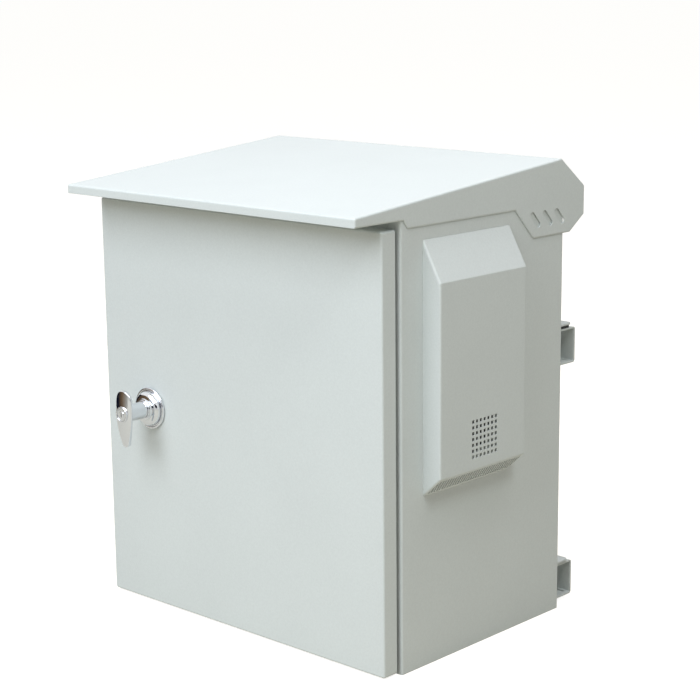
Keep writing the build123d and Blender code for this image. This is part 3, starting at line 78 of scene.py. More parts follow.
# Nodes of the zinc slot that are made of galvanised sheet
GALVANISED_NODES = (
    *(f"rack_rail_{side}" for side in SIDES),
    *(f"side_channel_{level}_{side}" for level in LEVELS for side in SIDES),
)

# The door's seal
SEAL_WIDTH = 12.0 * MM
SEAL_CORNER_RADIUS = 8.0 * MM
SEAL_SHOULDER = 0.4 * MM
SEAL_CORNER_STEPS = 8
SEAL_CROWN_STEPS = 8

# The fans' wire guards: four rings, and legs that end in a loop round each corner screw
RING_RADII = (20.0 * MM, 32.0 * MM, 44.0 * MM, 56.0 * MM)
RING_STEPS = 48
LEG_COUNT = 4
LOOP_RADIUS = 3.9 * MM
LOOP_STEPS = 20
SCREW_INSET = 4.0 * MM
WIRE_SIDES = 10

# The filter's fleece: its cells, the waves' length, their depth as a share of the relief, a
# fifth to all of it, and the step in the noise that makes its two faces differ
FLEECE_COLUMNS = 32
FLEECE_ROWS = 60
FLEECE_WAVE = 13.0 * MM
FLEECE_MEAN = 0.6
FLEECE_SWING = 0.4
FLEECE_FACE_STEP = 9.0

# The studio: the brightness that the floor adds for the eye, and the share that mirrors show
WHITE = (1.0, 1.0, 1.0, 1.0)
ROOM_COLOUR = (0.95, 0.98, 1.0, 1.0)
FLOOR_DROP = 0.4 * MM
FLOOR_LIFT = 0.88
FLOOR_SHARE_IN_MIRRORS = 0.3

# Each lamp's place from the cabinet's middle and its side length, in metres, and its colour
LAMPS = {
    "key": ((-0.2, -3.4, 2.9), 3.4, (0.88, 0.93, 1.0)),
    "top": ((0.7, 0.1, 3.4), 2.6, (1.0, 0.94, 0.93)),
    "side": ((2.3, -0.8, 3.0), 0.8, (0.94, 1.0, 0.99)),
}

# Each card's two ends on the floor plan, its bottom and top, in metres, and its tones, each
# with its place from the card's start at 0 to its end at 1
CARDS = {
    "left_card": (
        (-1.7, 0.3), (-0.7, -2.0), 0.0, 0.6,
        ((0.38, "card_navy"), (0.62, "card_brown"), (0.95, "card_pale")),
    ),
    "right_card": ((0.7, -2.9), (2.9, -1.3), 0.45, 1.5, ((0.0, "card_navy"),)),
}

# The camera: the photograph's width, focal length and shifts in pixels, the sensor's width in
# millimetres, and how far it sees in metres
PICTURE_WIDTH = 700
FOCAL_LENGTH = 1790.23
SHIFT_RIGHT = -41.02
SHIFT_UP = 8.41
SENSOR_WIDTH = 36.0
VIEW_END = 500.0


def linear(hex_colour):
    """Turn an sRGB hex colour into linear red, green and blue with full alpha."""
    values = [int(hex_colour[index:index + 2], 16) / 255 for index in (1, 3, 5)]
    turned = [v / 12.92 if v <= 0.04045 else ((v + 0.055) / 1.055) ** 2.4 for v in values]
    return (*turned, 1.0)


def colour_property(name, description, hex_colour):
    """A colour that a user may change, from its sRGB hex value."""
    return FloatVectorProperty(
        name=name,
        description=description,
        subtype="COLOR",
        size=4,
        min=0.0,
        max=1.0,
        default=linear(hex_colour),
    )


def length_property(name, description, millimetres):
    """A length that a user may change, from millimetres."""
    return FloatProperty(
        name=name,
        description=description,
        unit="LENGTH",
        precision=5,
        min=0.0,
        default=millimetres * MM,
    )


def angle_property(name, description, degrees):
    """An angle that a user may change, from degrees."""
    return FloatProperty(
        name=name,
        description=description,
        subtype="ANGLE",
        default=radians(degrees),
    )


def power_property(name, description, watts):
    """A lamp's power that a user may change."""
    return FloatProperty(name=name, description=description, unit="POWER", default=watts)


class CabinetColours(bpy.types.PropertyGroup):
    """Colours of the cabinet's finishes, the floor and the cards."""

    powder_coat: colour_property("Powder coat", "Light grey of the enclosure", "#D4DAD9")
    zinc: colour_property("Zinc plating", "Fasteners, hinges and latch", "#C2C5C8")
    galvanised: colour_property("Galvanised sheet", "Rails and side channels", "#B4B8BA")
    chrome: colour_property("Chrome plating", "Handle, rose and lock", "#E3E5E9")
    wire: colour_property("Nickel-plated wire", "Finger guards", "#C9C6BF")
    rubber: colour_property("Moulded rubber", "Grommets and rose gasket", "#26272A")
    foam: colour_property("Foamed seal", "Door and entry seals", "#2C2D30")
    fan_plastic: colour_property("Fan plastic", "Fan frames and wheels", "#232427")
    fleece: colour_property("Filter fleece", "Intake filter mat", "#DCDDD6")
    floor: colour_property("Floor", "Studio floor and background", "#CAC3B2")
    mirrored: colour_property("Floor in mirrors", "Floor as the chrome shows it", "#ADAA9C")
    card_navy: colour_property("Navy card", "Dark card that the chrome mirrors", "#171C2E")
    card_brown: colour_property("Brown card", "Middle of the left card", "#86705A")
    card_pale: colour_property("Pale card", "Right end of the left card", "#C9C9C6")


class CabinetSizes(bpy.types.PropertyGroup):
    """Sizes of what is added to the cabinet's solids."""

    coat_grain: length_property("Coat grain", "Pitch of the powder coat's texture", 0.9)
    edge_round: length_property("Edge round", "Rounding that the coat gives cut edges", 1.0)
    guard_wire: length_property("Guard wire", "Diameter of the finger guards' wire", 1.7)
    seal_crown: length_property("Seal crown", "Radius of the door seal's crown", 4.6)
    fleece_relief: length_property("Fleece relief", "Depth of the filter mat's waves", 0.5)
    floor_radius: length_property("Floor radius", "Radius of the studio floor", 60000.0)


class CabinetCamera(bpy.types.PropertyGroup):
    """The photograph's camera, and the light."""

    distance_x: length_property("Camera X", "To the right of the base's centre", 1680.3)
    distance_y: length_property("Camera Y", "Ahead of the base's centre", 1756.6)
    height: length_property("Camera height", "Above the base", 877.9)
    azimuth: angle_property("Azimuth", "Turn of the view from straight ahead of the door", 41.953)
    elevation: angle_property("Elevation", "Tilt of the view down from level", 12.349)
    roll: angle_property("Roll", "Turn of the camera about its own axis", 0.302)
    focal_length: FloatProperty(
        name="Focal length",
        description="Millimetres on a 36 mm wide sensor",
        unit="CAMERA",
        default=FOCAL_LENGTH / PICTURE_WIDTH * SENSOR_WIDTH,
    )
    shift_x: FloatProperty(
        name="Shift X",
        description="Sideways shift of the frame, as part of its width",
        default=SHIFT_RIGHT / PICTURE_WIDTH,
    )
    shift_y: FloatProperty(
        name="Shift Y",
        description="Upward shift of the frame, as part of its width",
        default=SHIFT_UP / PICTURE_WIDTH,
    )
    key_strength: power_property("Key lamp", "Watts of the large soft lamp", 182.0)
    top_strength: power_property("Top lamp", "Watts of the overhead soft lamp", 48.0)
    side_strength: power_property("Side lamp", "Watts of the lamp high at the right", 35.0)
    world_strength: FloatProperty(
        name="Room light",
        description="Strength of the even light all round",
        default=0.2,
    )


# Node trees

def add_node(tree, kind, inputs=None, **settings):
    """Add a node with its settings, and set its inputs or link them to a socket or to a
    node's first output."""
    added = tree.nodes.new(kind)
    for name, value in settings.items():
        setattr(added, name, value)
    for key, value in (inputs or {}).items():
        if isinstance(value, bpy.types.Node):
            value = value.outputs[0]
        if isinstance(value, bpy.types.NodeSocket):
            tree.links.new(value, added.inputs[key])
        else:
            added.inputs[key].default_value = value
    return added


def new_material(name):
    """A material with an empty node tree."""
    material = bpy.data.materials.new(name)
    material.use_nodes = True
    tree = material.node_tree
    tree.nodes.clear()
    return material, tree


def spread(factor, low, high):
    """What maps a noise, which seldom leaves its middle half, to the values between two."""
    return {"Value": factor, "From Min": 0.25, "From Max": 0.75, "To Min": low, "To Max": high}


def vary_colour(tree, colour, factor, darker, lighter):
    """Shade a colour between two brightnesses by a factor from 0 to 1."""
    value = add_node(tree, "ShaderNodeMapRange", spread(factor, darker, lighter))
    return add_node(tree, "ShaderNodeHueSaturation", {"Color": colour, "Value": value})


def powder_coat(tree, position, scene):
    """Polyester powder coat on steel sheet, sprayed and baked: a soft sheen over a fine
    orange-peel texture, with cut edges rounded by the coat so that they catch the light."""
    sizes = scene.cabinet_sizes
    peel = add_node(
        tree, "ShaderNodeTexNoise",
        {"Vector": position, "Scale": 1 / sizes.coat_grain, "Detail": 3.0},
    )
    # The coat's thickness drifts over a hand's breadth
    drift = add_node(
        tree, "ShaderNodeTexNoise", {"Vector": position, "Scale": 1 / (120 * MM), "Detail": 2.0}
    )
    # The powder's speckle is about 1 mm wide, and is drawn at 2.8 mm so that it shows
    speck = add_node(
        tree, "ShaderNodeTexNoise",
        {"Vector": position, "Scale": 1 / (2.8 * MM), "Detail": 4.0, "Roughness": 0.7},
    )
    paint = scene.cabinet_colours.powder_coat
    drifted = vary_colour(tree, paint, drift, darker=0.985, lighter=1.012)
    colour = vary_colour(tree, drifted, speck, darker=0.95, lighter=1.035)
    roughness = add_node(tree, "ShaderNodeMapRange", spread(speck, low=0.42, high=0.52))
    edge = add_node(tree, "ShaderNodeBevel", {"Radius": sizes.edge_round}, samples=6)
    bump = add_node(
        tree, "ShaderNodeBump",
        {"Strength": 0.16, "Distance": 0.12 * MM, "Height": peel, "Normal": edge},
    )
    return add_node(
        tree, "ShaderNodeBsdfPrincipled",
        {"Base Color": colour, "Roughness": roughness, "IOR": 1.5, "Normal": bump},
    )


def zinc_plating(tree, position, scene):
    """Barrel zinc plating with clear passivate: a dull silver with faint cloudy patches."""
    cloud = add_node(
        tree, "ShaderNodeTexNoise", {"Vector": position, "Scale": 1 / (6 * MM), "Detail": 4.0}
    )
    zinc = scene.cabinet_colours.zinc
    colour = vary_colour(tree, zinc, cloud, darker=0.86, lighter=1.04)
    roughness = add_node(tree, "ShaderNodeMapRange", spread(cloud, low=0.26, high=0.42))
    edge = add_node(tree, "ShaderNodeBevel", {"Radius": 0.25 * MM}, samples=6)
    return add_node(
        tree, "ShaderNodeBsdfPrincipled",
        {"Base Color": colour, "Metallic": 1.0, "Roughness": roughness, "Normal": edge},
    )


def galvanised_sheet(tree, position, scene):
    """Hot-dip galvanised sheet: interlocking zinc crystals, each a slightly different grey."""
    crystal = add_node(
        tree, "ShaderNodeTexVoronoi", {"Vector": position, "Scale": 1 / (7 * MM)},
        feature="SMOOTH_F1",
    )
    tone = add_node(tree, "ShaderNodeSeparateColor", {"Color": crystal.outputs["Color"]})
    grey = scene.cabinet_colours.galvanised
    colour = vary_colour(tree, grey, tone.outputs["Red"], darker=0.94, lighter=1.04)
    dullness = spread(tone.outputs["Green"], low=0.4, high=0.5)
    roughness = add_node(tree, "ShaderNodeMapRange", dullness)
    edge = add_node(tree, "ShaderNodeBevel", {"Radius": 0.3 * MM}, samples=6)
    return add_node(
        tree, "ShaderNodeBsdfPrincipled",
        {"Base Color": colour, "Metallic": 1.0, "Roughness": roughness, "Normal": edge},
    )


def chrome_plating(tree, position, scene):
    """Bright chrome over a polished zinc casting: a mirror with the casting's slow waves."""
    chrome = scene.cabinet_colours.chrome
    wave = add_node(
        tree, "ShaderNodeTexNoise", {"Vector": position, "Scale": 1 / (14 * MM), "Detail": 1.0}
    )
    haze = add_node(
        tree, "ShaderNodeTexNoise", {"Vector": position, "Scale": 1 / (5 * MM), "Detail": 4.0}
    )
    roughness = add_node(tree, "ShaderNodeMapRange", spread(haze, low=0.05, high=0.11))
    edge = add_node(tree, "ShaderNodeBevel", {"Radius": 0.5 * MM}, samples=8)
    bump = add_node(
        tree, "ShaderNodeBump",
        {"Strength": 0.25, "Distance": 0.5 * MM, "Height": wave, "Normal": edge},
    )
    return add_node(
        tree, "ShaderNodeBsdfPrincipled",
        {"Base Color": chrome, "Metallic": 1.0, "Roughness": roughness, "Normal": bump},
    )


def wire_plating(tree, position, scene):
    """Drawn steel wire with bright nickel plating: smooth, faintly warm."""
    draw = add_node(
        tree, "ShaderNodeTexNoise", {"Vector": position, "Scale": 1 / (1.2 * MM), "Detail": 2.0}
    )
    nickel = scene.cabinet_colours.wire
    colour = vary_colour(tree, nickel, draw, darker=0.94, lighter=1.03)
    return add_node(
        tree, "ShaderNodeBsdfPrincipled",
        {"Base Color": colour, "Metallic": 1.0, "Roughness": 0.24},
    )


def moulded_rubber(tree, position, scene):
    """Moulded nitrile rubber: matt black with a dusty bloom."""
    bloom = add_node(
        tree, "ShaderNodeTexNoise",
        {"Vector": position, "Scale": 1 / (9 * MM), "Detail": 5.0, "Roughness": 0.65},
    )
    texture = add_node(
        tree, "ShaderNodeTexNoise", {"Vector": position, "Scale": 1 / (0.8 * MM), "Detail": 2.0}
    )
    rubber = scene.cabinet_colours.rubber
    colour = vary_colour(tree, rubber, bloom, darker=0.85, lighter=1.3)
    bump = add_node(
        tree, "ShaderNodeBump", {"Strength": 0.2, "Distance": 0.1 * MM, "Height": texture}
    )
    return add_node(
        tree, "ShaderNodeBsdfPrincipled",
        {"Base Color": colour, "Roughness": 0.62, "IOR": 1.5, "Normal": bump},
    )


def foamed_seal(tree, position, scene):
    """Foamed-in-place polyurethane: a soft skin with tiny open cells."""
    cells = add_node(tree, "ShaderNodeTexVoronoi", {"Vector": position, "Scale": 1 / (1.3 * MM)})
    skin = add_node(
        tree, "ShaderNodeTexNoise", {"Vector": position, "Scale": 1 / (14 * MM), "Detail": 4.0}
    )
    foam = scene.cabinet_colours.foam
    colour = vary_colour(tree, foam, skin, darker=0.88, lighter=1.22)
    bump = add_node(
        tree, "ShaderNodeBump",
        {"Strength": 0.35, "Distance": 0.25 * MM, "Height": cells.outputs["Distance"]},
    )
    return add_node(
        tree, "ShaderNodeBsdfPrincipled",
        {"Base Color": colour, "Roughness": 0.82, "IOR": 1.45, "Normal": bump},
    )


def fan_moulding(tree, position, scene):
    """Glass-filled PBT: satin black with the mould's fine spark texture."""
    spark = add_node(
        tree, "ShaderNodeTexNoise", {"Vector": position, "Scale": 1 / (0.6 * MM), "Detail": 3.0}
    )
    flow = add_node(
        tree, "ShaderNodeTexNoise", {"Vector": position, "Scale": 1 / (18 * MM), "Detail": 3.0}
    )
    plastic = scene.cabinet_colours.fan_plastic
    colour = vary_colour(tree, plastic, flow, darker=0.9, lighter=1.15)
    bump = add_node(
        tree, "ShaderNodeBump", {"Strength": 0.2, "Distance": 0.08 * MM, "Height": spark}
    )
    return add_node(
        tree, "ShaderNodeBsdfPrincipled",
        {"Base Color": colour, "Roughness": 0.46, "IOR": 1.53, "Normal": bump},
    )


def filter_fleece(tree, position, scene):
    """Bonded polyester fleece: loose white fibres about 0.3 mm apart, drawn as 0.9 mm streaks
    so that they show."""
    stretched = add_node(
        tree, "ShaderNodeMapping", {"Vector": position, "Scale": (1.0, 0.35, 1.0)}
    )
    fibre = add_node(
        tree, "ShaderNodeTexNoise",
        {"Vector": stretched, "Scale": 1 / (0.9 * MM), "Detail": 6.0, "Roughness": 0.75},
    )
    clump = add_node(
        tree, "ShaderNodeTexNoise", {"Vector": position, "Scale": 1 / (11 * MM), "Detail": 3.0}
    )
    fleece = scene.cabinet_colours.fleece
    streaked = vary_colour(tree, fleece, fibre, darker=0.72, lighter=1.08)
    colour = vary_colour(tree, streaked, clump, darker=0.94, lighter=1.03)
    bump = add_node(
        tree, "ShaderNodeBump", {"Strength": 0.6, "Distance": 0.6 * MM, "Height": fibre}
    )
    return add_node(
        tree, "ShaderNodeBsdfPrincipled",
        {"Base Color": colour, "Roughness": 0.9, "IOR": 1.5, "Sheen Weight": 0.3, "Normal": bump},
    )


# Each finish's material name and what builds its shader
FINISHES = {
    "enclosure_paint": ("powder_coated_steel", powder_coat),
    "zinc_plated_steel": ("zinc_plated_steel", zinc_plating),
    "galvanised": ("galvanised_sheet", galvanised_sheet),
    "chrome_plating": ("chrome_plated_casting", chrome_plating),
    "guard_wire": ("nickel_plated_wire", wire_plating),
    "black_rubber": ("moulded_black_rubber", moulded_rubber),
    "foam_seal": ("foamed_polyurethane_seal", foamed_seal),
    "black_plastic": ("glass_filled_pbt", fan_moulding),
    "filter_fibre": ("polyester_filter_fleece", filter_fleece),
}

# The materials made so far, by name
MADE = {}


def dress(obj, finish, scene):
    """Give a piece one finish, whose material is made once."""
    name, build = FINISHES[finish]
    if name not in MADE:
        material, tree = new_material(name)
        position = add_node(tree, "ShaderNodeTexCoord").outputs["Object"]
        shader = build(tree, position, scene)
        add_node(tree, "ShaderNodeOutputMaterial", {"Surface": shader})
        MADE[name] = material
    obj.data.materials.clear()
    obj.data.materials.append(MADE[name])


def dress_nodes(scene, *slots):
    """Give every CAD node of the named slots its finish."""
    for node_name, slot in SLOT_OF_NODE.items():
        if slot in slots:
            finish = "galvanised" if node_name in GALVANISED_NODES else slot
            dress(frame["nodes"][node_name], finish, scene)


# Meshes

def piece_from(name, verts, faces, slot, scene, smooth=True):
    """A mesh object from points and faces, with the finish of a record slot."""
    mesh = bpy.data.meshes.new(name)
    mesh.from_pydata([tuple(v) for v in verts], [], faces)
    mesh.validate()
    if smooth:
        mesh.shade_smooth()
    obj = bpy.data.objects.new(name, mesh)
    scene.collection.objects.link(obj)
    dress(obj, slot, scene)
    return obj


def swept(path, section, closed):
    """Points and faces of a section carried along a path of (point, across, up)."""
    verts = []
    for point, across, up in path:
        verts += [point + across * a + up * b for a, b in section]
    faces = []
    rows = len(path)
    ring = len(section)
    for row in range(rows if closed else rows - 1):
        start = row * ring
        after = (row + 1) % rows * ring
        for index in range(ring):
            beside = (index + 1) % ring
            faces.append((start + index, start + beside, after + beside, after + index))
    if not closed:
        faces.append(tuple(range(ring))[::-1])
        faces.append(tuple(range((rows - 1) * ring, rows * ring)))
    return verts, faces


def join_shapes(shapes):
    """Several lists of points and faces as one."""
    verts = []
    faces = []
    for more_verts, more_faces in shapes:
        offset = len(verts)
        verts += more_verts
        faces += [tuple(index + offset for index in face) for face in more_faces]
    return verts, faces


def circle_section(radius, sides):
    """A round section."""
    turns = [2 * pi * index / sides for index in range(sides)]
    return [(radius * cos(turn), radius * sin(turn)) for turn in turns]


def crowned_section(width, depth, crown):
    """A seal's section, from its outer foot inwards and back over the crown."""
    shoulder = depth - crown
    half = width / 2
    section = [(0.0, 0.0), (-width, 0.0), (-width + SEAL_SHOULDER, shoulder)]
    for step in range(1, SEAL_CROWN_STEPS):
        angle = pi - pi * step / SEAL_CROWN_STEPS
        across = -half + (half - SEAL_SHOULDER) * cos(angle)
        section.append((across, shoulder + crown * sin(angle)))
    section.append((-SEAL_SHOULDER, shoulder))
    return section


def rounded_loop(half_x, half_z, radius, centre, steps):
    """A rounded rectangle in X and Z as a path for swept, with +Y up."""
    path = []
    corners = ((1, 1, 0), (-1, 1, 1), (-1, -1, 2), (1, -1, 3))
    for side_x, side_z, quarter in corners:
        corner_x = side_x * (half_x - radius)
        corner_z = side_z * (half_z - radius)
        for step in range(steps + 1):
            angle = pi / 2 * (quarter + step / steps)
            out = Vector((cos(angle), 0, sin(angle)))
            point = centre + Vector((corner_x, 0, corner_z)) + out * radius
            path.append((point, out, Vector((0, 1, 0))))
    return path


def wire_ring(centre, radius):
    """A circle of wire across X, as a path for swept."""
    path = []
    for step in range(RING_STEPS):
        angle = 2 * pi * step / RING_STEPS
        out = Vector((0, cos(angle), sin(angle)))
        path.append((centre + out * radius, out, Vector((1, 0, 0))))
    return path


def wire_leg(centre, angle, reach, wire_radius):
    """A radial wire that ends in a loop round the fan's corner screw, as a path for swept."""
    out = Vector((0, cos(angle), sin(angle)))
    side = Vector((0, -sin(angle), cos(angle)))
    face = Vector((1, 0, 0))
    loop = LOOP_RADIUS - wire_radius
    path = [
        (centre + out * RING_RADII[0], side, face),
        (centre + out * (reach - loop), side, face),
    ]
    screw = centre + out * reach
    for step in range(1, LOOP_STEPS):
        turn = 2 * pi * step / LOOP_STEPS
        radial = -out * cos(turn) + side * sin(turn)
        path.append((screw + radial * loop, radial, face))
    return path


def fleece_point(low, high, relief, side, row, column):
    """A point of the mat's inner (0) or outer (1) face, sunk into its box by the waves."""
    y = low.y + (high.y - low.y) * column / FLEECE_COLUMNS
    z = low.z + (high.z - low.z) * row / FLEECE_ROWS
    wave = noise.noise(Vector((side * FLEECE_FACE_STEP, y / FLEECE_WAVE, z / FLEECE_WAVE)))
    sunk = relief * (FLEECE_MEAN + FLEECE_SWING * wave)
    x = high.x - sunk if side else low.x + sunk
    return Vector((x, y, z))


def fleece_shape(low, high, relief):
    """Points and faces of a mat with two wavy faces and a flat rim."""
    rows, columns = FLEECE_ROWS, FLEECE_COLUMNS
    places = [(row, column) for row in range(rows + 1) for column in range(columns + 1)]
    verts = [
        fleece_point(low, high, relief, side, row, column)
        for side in (0, 1)
        for row, column in places
    ]

    def at(side, row, column):
        return side * len(places) + row * (columns + 1) + column

    faces = []
    for row in range(rows):
        for column in range(columns):
            cell = ((row, column), (row, column + 1), (row + 1, column + 1), (row + 1, column))
            faces.append(tuple(at(1, *corner) for corner in cell))
            faces.append(tuple(at(0, *corner) for corner in cell)[::-1])
    rim = [(0, column) for column in range(columns)]
    rim += [(row, columns) for row in range(rows)]
    rim += [(rows, column) for column in range(columns, 0, -1)]
    rim += [(row, 0) for row in range(rows, 0, -1)]
    for here, after in zip(rim, rim[1:] + rim[:1]):
        faces.append((at(0, *here), at(0, *after), at(1, *after), at(1, *here)))
    return verts, faces


# Studio

def add_floor(scene):
    """A wide round floor, white to the eye except for the cabinet's shadow."""
    colours = scene.cabinet_colours
    mesh = bpy.data.meshes.new("studio_floor")
    shape = bmesh.new()
    radius = scene.cabinet_sizes.floor_radius
    bmesh.ops.create_circle(shape, cap_ends=True, segments=96, radius=radius)
    shape.to_mesh(mesh)
    shape.free()
    floor = bpy.data.objects.new("studio_floor", mesh)
    floor.location.z = -FLOOR_DROP
    scene.collection.objects.link(floor)
    # Matt studio paint, of one even tone
    material, tree = new_material("painted_studio_floor")
    ray = add_node(tree, "ShaderNodeLightPath").outputs
    # In a mix of colours, inputs 6 and 7 are the colours and output 2 is the result
    tint = add_node(
        tree, "ShaderNodeMix", {0: ray["Is Glossy Ray"], 6: colours.floor, 7: colours.mirrored},
        data_type="RGBA",
    ).outputs[2]
    paint = add_node(tree, "ShaderNodeBsdfDiffuse", {"Color": tint})
    lift = add_node(tree, "ShaderNodeEmission", {"Color": WHITE, "Strength": FLOOR_LIFT})
    lifted = add_node(tree, "ShaderNodeAddShader", {0: paint, 1: lift})
    in_mirrors = add_node(
        tree, "ShaderNodeMath", {0: ray["Is Glossy Ray"], 1: FLOOR_SHARE_IN_MIRRORS},
        operation="MULTIPLY",
    )
    share = add_node(
        tree, "ShaderNodeMath", {0: ray["Is Camera Ray"], 1: in_mirrors}, operation="MAXIMUM"
    )
    mixed = add_node(tree, "ShaderNodeMixShader", {0: share, 1: paint, 2: lifted})
    add_node(tree, "ShaderNodeOutputMaterial", {"Surface": mixed})
    mesh.materials.append(material)
    floor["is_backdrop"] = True


def add_world(scene):
    """Even room light that looks white to the camera and in metal."""
    world = bpy.data.worlds.new("studio_room")
    scene.world = world
    world.use_nodes = True
    tree = world.node_tree
    tree.nodes.clear()
    ray = add_node(tree, "ShaderNodeLightPath").outputs
    straight = add_node(
        tree, "ShaderNodeMath", {0: ray["Is Camera Ray"], 1: ray["Is Transmission Ray"]},
        operation="MAXIMUM",
    )
    seen = add_node(
        tree, "ShaderNodeMath", {0: straight, 1: ray["Is Glossy Ray"]}, operation="MAXIMUM"
    )
    strength = scene.cabinet_camera.world_strength
    light = add_node(tree, "ShaderNodeBackground", {"Color": ROOM_COLOUR, "Strength": strength})
    white = add_node(tree, "ShaderNodeBackground", {"Color": WHITE, "Strength": 1.0})
    mixed = add_node(tree, "ShaderNodeMixShader", {0: seen, 1: light, 2: white})
    add_node(tree, "ShaderNodeOutputWorld", {"Surface": mixed})


def add_lamps(scene):
    """A large key lamp ahead of the door, a soft lamp overhead, and a smaller one high at
    the right, each a square that faces the cabinet's middle."""
    low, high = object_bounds()
    middle = (Vector(low) + Vector(high)) / 2
    for name, (offset, size, colour) in LAMPS.items():
        data = bpy.data.lights.new(f"{name}_lamp", "AREA")
        data.shape = "SQUARE"
        data.size = size
        data.energy = getattr(scene.cabinet_camera, f"{name}_strength")
        data.color = colour
        lamp = bpy.data.objects.new(f"{name}_lamp", data)
        lamp.location = middle + Vector(offset)
        lamp.rotation_euler = (-Vector(offset)).to_track_quat("-Z", "Y").to_euler()
        scene.collection.objects.link(lamp)


def card_material(name, start, end, tones, colours):
    """Matt card whose tones run into each other along Y."""
    material, tree = new_material(name)
    position = add_node(tree, "ShaderNodeTexCoord").outputs["Object"]
    axes = add_node(tree, "ShaderNodeSeparateXYZ", {"Vector": position}).outputs
    along = add_node(
        tree, "ShaderNodeMapRange", {"Value": axes["Y"], "From Min": start, "From Max": end}
    )
    ramp = add_node(tree, "ShaderNodeValToRGB", {"Fac": along})
    stops = ramp.color_ramp.elements
    stops.remove(stops[1])
    first_place, first_tone = tones[0]
    stops[0].position = first_place
    stops[0].color = getattr(colours, first_tone)
    for place, tone in tones[1:]:
        stops.new(place).color = getattr(colours, tone)
    card = add_node(tree, "ShaderNodeBsdfDiffuse", {"Color": ramp})
    add_node(tree, "ShaderNodeOutputMaterial", {"Surface": card})
    return material


def add_cards(scene):
    """Dark cards that only mirrors show, so that the chrome has contrast: one low at the
    left, from navy through brown to pale, and a navy one behind the camera."""
    for name, (start, end, bottom, top, tones) in CARDS.items():
        mesh = bpy.data.meshes.new(name)
        corners = [(*start, bottom), (*end, bottom), (*end, top), (*start, top)]
        mesh.from_pydata(corners, [], [(0, 1, 2, 3)])
        mesh.materials.append(
            card_material(name, start[1], end[1], tones, scene.cabinet_colours)
        )
        card = bpy.data.objects.new(name, mesh)
        card.visible_camera = False
        card.visible_diffuse = False
        card.visible_shadow = False
        card.visible_transmission = False
        scene.collection.objects.link(card)
        card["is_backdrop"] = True


def add_camera(scene):
    """The camera at the photograph's place, turned and rolled as it was."""
    settings = scene.cabinet_camera
    azimuth, elevation, roll = settings.azimuth, settings.elevation, settings.roll
    back = Vector((
        sin(azimuth) * cos(elevation), -cos(azimuth) * cos(elevation), sin(elevation)
    ))
    right = Vector((0, 0, 1)).cross(back).normalized()
    up = back.cross(right)
    turned_right = right * cos(roll) - up * sin(roll)
    turned_up = up * cos(roll) + right * sin(roll)
    data = bpy.data.cameras.new("photo_camera")
    data.sensor_width = SENSOR_WIDTH
    data.lens = settings.focal_length
    data.shift_x = settings.shift_x
    data.shift_y = settings.shift_y
    data.clip_end = VIEW_END
    camera = bpy.data.objects.new("photo_camera", data)
    place = Vector((settings.distance_x, -settings.distance_y, settings.height))
    turn = Matrix((turned_right, turned_up, back)).transposed().to_4x4()
    camera.matrix_world = Matrix.Translation(place) @ turn
    scene.collection.objects.link(camera)
    scene.camera = camera


# Operators

class CABINET_OT_enclosure(bpy.types.Operator):
    """Give the sheet steel parts their powder coat"""

    bl_idname = "cabinet.enclosure"
    bl_label = "Enclosure"

    def execute(self, context):
        dress_nodes(context.scene, "enclosure_paint")
        return {"FINISHED"}


class CABINET_OT_fittings(bpy.types.Operator):
    """Give hinges, rails, bolts, latch and handle their platings"""

    bl_idname = "cabinet.fittings"
    bl_label = "Metal fittings"

    def execute(self, context):
        dress_nodes(context.scene, "zinc_plated_steel", "chrome_plating")
        return {"FINISHED"}


class CABINET_OT_door_seal(bpy.types.Operator):
    """Lay the door's foamed seal as a crowned bead"""

    bl_idname = "cabinet.door_seal"
    bl_label = "Door seal"

    def execute(self, context):
        scene = context.scene
        low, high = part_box("door_gasket")
        middle = (low + high) / 2
        half = (high - low) / 2
        foot = Vector((middle.x, low.y, middle.z))
        path = rounded_loop(half.x, half.z, SEAL_CORNER_RADIUS, foot, SEAL_CORNER_STEPS)
        section = crowned_section(SEAL_WIDTH, high.y - low.y, scene.cabinet_sizes.seal_crown)
        verts, faces = swept(path, section, closed=True)
        seal = piece_from("door_seal_bead", verts, faces, "foam_seal", scene)
        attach(seal, "door")
        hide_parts("door_gasket")
        return {"FINISHED"}


class CABINET_OT_fans(bpy.types.Operator):
    """Finish the fans and bend their finger guards from round wire"""

    bl_idname = "cabinet.fans"
    bl_label = "Fans and guards"

    def execute(self, context):
        scene = context.scene
        dress_nodes(scene, "black_plastic")
        wire_radius = scene.cabinet_sizes.guard_wire / 2
        section = circle_section(wire_radius, WIRE_SIDES)
        leg_angles = [pi / 4 + 2 * pi * index / LEG_COUNT for index in range(LEG_COUNT)]
        for level in LEVELS:
            node = f"fan_guard_{level}"
            low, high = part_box(node)
            middle = (low + high) / 2
            centre = Vector((high.x - wire_radius, middle.y, middle.z))
            reach = ((high.y - low.y) / 2 - SCREW_INSET) * sqrt(2)
            rings = [wire_ring(centre, radius) for radius in RING_RADII]
            legs = [wire_leg(centre, angle, reach, wire_radius) for angle in leg_angles]
            shapes = [swept(ring, section, closed=True) for ring in rings]
            shapes += [swept(leg, section, closed=False) for leg in legs]
            verts, faces = join_shapes(shapes)
            guard = piece_from(f"wire_guard_{level}", verts, faces, "guard_wire", scene)
            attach(guard, "cabinet")
            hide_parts(node)
        return {"FINISHED"}


class CABINET_OT_filter(bpy.types.Operator):
    """Lay the fleece mat behind the intake slots"""

    bl_idname = "cabinet.filter_mat"
    bl_label = "Filter mat"

    def execute(self, context):
        scene = context.scene
        low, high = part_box("filter_mat")
        verts, faces = fleece_shape(low, high, scene.cabinet_sizes.fleece_relief)
        mat = piece_from("fleece_mat", verts, faces, "filter_fibre", scene, smooth=False)
        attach(mat, "cabinet")
        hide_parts("filter_mat")
        return {"FINISHED"}


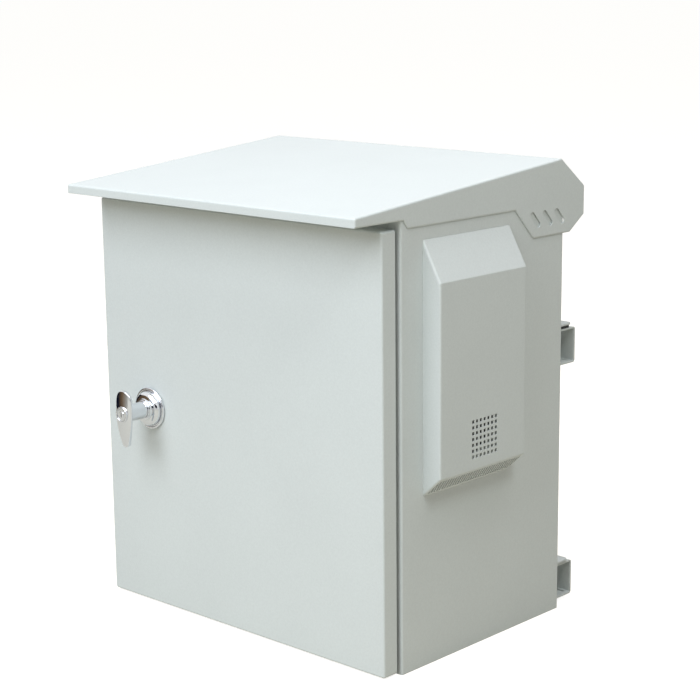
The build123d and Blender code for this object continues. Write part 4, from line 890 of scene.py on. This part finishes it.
class CABINET_OT_rubber(bpy.types.Operator):
    """Give the grommets and flat gaskets their rubber and foam"""

    bl_idname = "cabinet.rubber"
    bl_label = "Grommets and gaskets"

    def execute(self, context):
        dress_nodes(context.scene, "black_rubber", "foam_seal")
        return {"FINISHED"}


class CABINET_OT_stage(bpy.types.Operator):
    """Set the pale floor, the soft lamps and the photograph's camera"""

    bl_idname = "cabinet.stage"
    bl_label = "Studio and camera"

    def execute(self, context):
        scene = context.scene
        add_floor(scene)
        add_world(scene)
        add_lamps(scene)
        add_cards(scene)
        add_camera(scene)
        scene.view_settings.view_transform = "Standard"
        return {"FINISHED"}


OPERATORS = (
    CABINET_OT_enclosure,
    CABINET_OT_fittings,
    CABINET_OT_door_seal,
    CABINET_OT_fans,
    CABINET_OT_filter,
    CABINET_OT_rubber,
    CABINET_OT_stage,
)
GROUPS = {
    "cabinet_colours": CabinetColours,
    "cabinet_sizes": CabinetSizes,
    "cabinet_camera": CabinetCamera,
}


class CABINET_PT_panel(bpy.types.Panel):
    """Cabinet pieces and their sizes and colours."""

    bl_idname = "CABINET_PT_panel"
    bl_label = "Outdoor cabinet"
    bl_space_type = "VIEW_3D"
    bl_region_type = "UI"
    bl_category = "Cabinet"

    def draw(self, context):
        layout = self.layout
        for group_name in GROUPS:
            group = getattr(context.scene, group_name)
            box = layout.box()
            for field in group.__annotations__:
                box.prop(group, field)
        for operator in OPERATORS:
            layout.operator(operator.bl_idname)


CLASSES = (*GROUPS.values(), *OPERATORS, CABINET_PT_panel)


def register():
    """Make the classes known, and give every scene the cabinet's settings."""
    for cls in CLASSES:
        bpy.utils.register_class(cls)
    for name, group in GROUPS.items():
        setattr(bpy.types.Scene, name, PointerProperty(type=group))


def unregister():
    """Take the settings and the classes away again."""
    for name in GROUPS:
        delattr(bpy.types.Scene, name)
    for cls in reversed(CLASSES):
        bpy.utils.unregister_class(cls)


def main():
    """Build everything."""
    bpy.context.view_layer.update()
    register()
    for operator in OPERATORS:
        group, name = operator.bl_idname.split(".")
        getattr(getattr(bpy.ops, group), name)()


if __name__ == "__main__":
    main()
